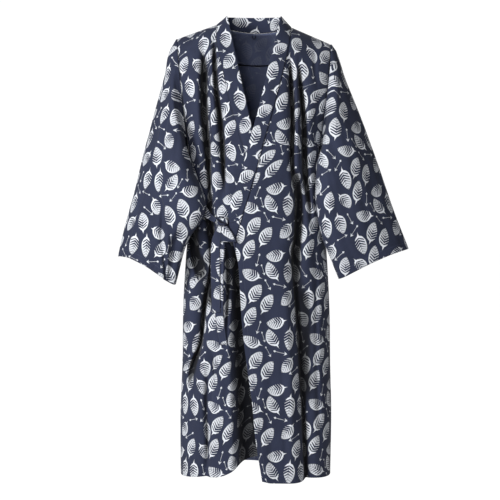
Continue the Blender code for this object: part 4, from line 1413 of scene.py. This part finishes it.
def studio_light():
    world = bpy.data.worlds.new("soft studio")
    bpy.context.scene.world = world
    world.use_nodes = True
    background = world.node_tree.nodes["Background"]
    seen = signal(world.node_tree, "ShaderNodeLightPath", {}, "Is Camera Ray")
    strength = between(seen, 0.0, 1.0, 0.105, 1.05)
    feed_all(background, {"Color": (1.0, 1.0, 1.0, 1.0), "Strength": strength})
    for lamp in LAMPS:
        light = bpy.data.lights.new(lamp.name, "AREA")
        light.shape = "SQUARE"
        light.size = lamp.size
        light.energy = lamp.power
        stand(lamp.name, light, lamp.place, LAMP_AIM)


def stand(name, data, place, aim):
    """Sets up a lamp or the camera at a place, turned to its aim."""
    holder = bpy.data.objects.new(name, data)
    holder.location = place
    holder.rotation_euler = (aim - place).to_track_quat("-Z", "Y").to_euler()
    bpy.context.scene.collection.objects.link(holder)
    return holder


def camera():
    lens = bpy.data.cameras.new("photo camera")
    lens.lens = CAMERA_LENS
    lens.sensor_width = 36.0
    lens.clip_start = 0.05
    lens.clip_end = 60.0
    bpy.context.scene.camera = stand("photo camera", lens, CAMERA_PLACE, CAMERA_AIM)


def place_in_frame(piece, node, slot_name):
    """Puts a piece on the root body, and hides its solid if it has one."""
    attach(piece, "root")
    if node:
        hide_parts(node)
    return piece


# Record for the flat size of a cut piece as it shows, width and length, and its area where it isn't a
# rectangle
Cut = namedtuple("Cut", "width length area held")


def build():
    repeat = print_group(leaf_group(), arrow_group())
    effects = Effects(repeat, weave_group(), stitch_group(), crumple_group())
    body_cotton = cloth_material("printed cotton, body", effects, NAVY, 1.0, HEM_DEPTH, FRONT_HEM_DEPTH)
    sleeve_cotton = cloth_material("printed cotton, sleeve", effects, NAVY, 1.0, CUFF_HEM_DEPTH, NO_HEM)
    band_cotton = cloth_material("printed cotton, neckband", effects, NAVY, 1.0, NO_HEM, NO_HEM)
    tie_cotton = cloth_material("printed cotton, tie", effects, NAVY, 1.0, TIE_HEM, TIE_EDGE_HEM)
    # The inside's colour is partly the cloth's own paler reverse side and partly painted light
    inside_cotton = cloth_material("inside of the cotton", effects, INSIDE_NAVY_AND_PAINTED_GLOW, INSIDE_INK, HEM_DEPTH,
                                   FRONT_HEM_DEPTH)
    facing_cotton = cloth_material("facing cotton", effects, INSIDE_NAVY_AND_PAINTED_GLOW, FACING_INK, NO_HEM, NO_HEM)
    shadow_line_tape = cord_material("dark binding tape", SHADOW_LINE_BLACK, 0.0008)
    loop_thread = cord_material("dark loop cord", LOOP_BLACK, 0.0010)

    printed, inside, tie = "printed_cotton", "inside_cotton", "tie_cotton"
    body = [body_cotton, inside_cotton]
    arm = [sleeve_cotton, inside_cotton]
    pieces = [
        (back_panel(body), printed),
        (front_panel(OVER_FRONT, body), printed),
        (front_panel(UNDER_FRONT, body), printed),
        (sleeve("sleeve_left", 1, LEFT_RINGS, LEFT_CREASES, arm, (0.150, 0.020)), printed),
        (sleeve("sleeve_right", -1, RIGHT_RINGS, RIGHT_CREASES, arm, (0.040, 0.120)), printed),
        (neckband([band_cotton]), printed),
        (back_neck_facing([facing_cotton]), inside),
        (neck_loop(loop_thread), "loop_cord"),
        (strap("tie_side_strap", SIDE_STRAP, tie_cotton, (0.020, 0.030)), tie),
        (strap("tie_front_strap", FRONT_STRAP, tie_cotton, (0.160, 0.050)), tie),
        (strap("tie_end_long", LONG_END, tie_cotton, (0.100, 0.020)), tie),
        (strap("tie_end_short", SHORT_END, tie_cotton, (0.064, 0.090)), tie),
        (bow_loop(tie_cotton), tie),
        (tie_knot(tie_cotton), tie),
    ]
    for piece, slot_name in pieces:
        place_in_frame(piece, piece.name, slot_name)
    shadow_line_strip = place_in_frame(facing_binding(shadow_line_tape), None, inside)


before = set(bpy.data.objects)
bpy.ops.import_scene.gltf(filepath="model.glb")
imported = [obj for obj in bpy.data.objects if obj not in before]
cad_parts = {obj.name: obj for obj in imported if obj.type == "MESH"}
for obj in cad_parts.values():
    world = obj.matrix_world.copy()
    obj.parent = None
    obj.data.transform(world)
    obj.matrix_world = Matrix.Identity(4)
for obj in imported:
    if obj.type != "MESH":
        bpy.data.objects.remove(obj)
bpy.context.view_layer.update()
for node_name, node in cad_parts.items():
    node.name = node_name + ".cad"
build()
studio_floor()
studio_light()
camera()
bpy.context.scene.view_settings.view_transform = "Standard"
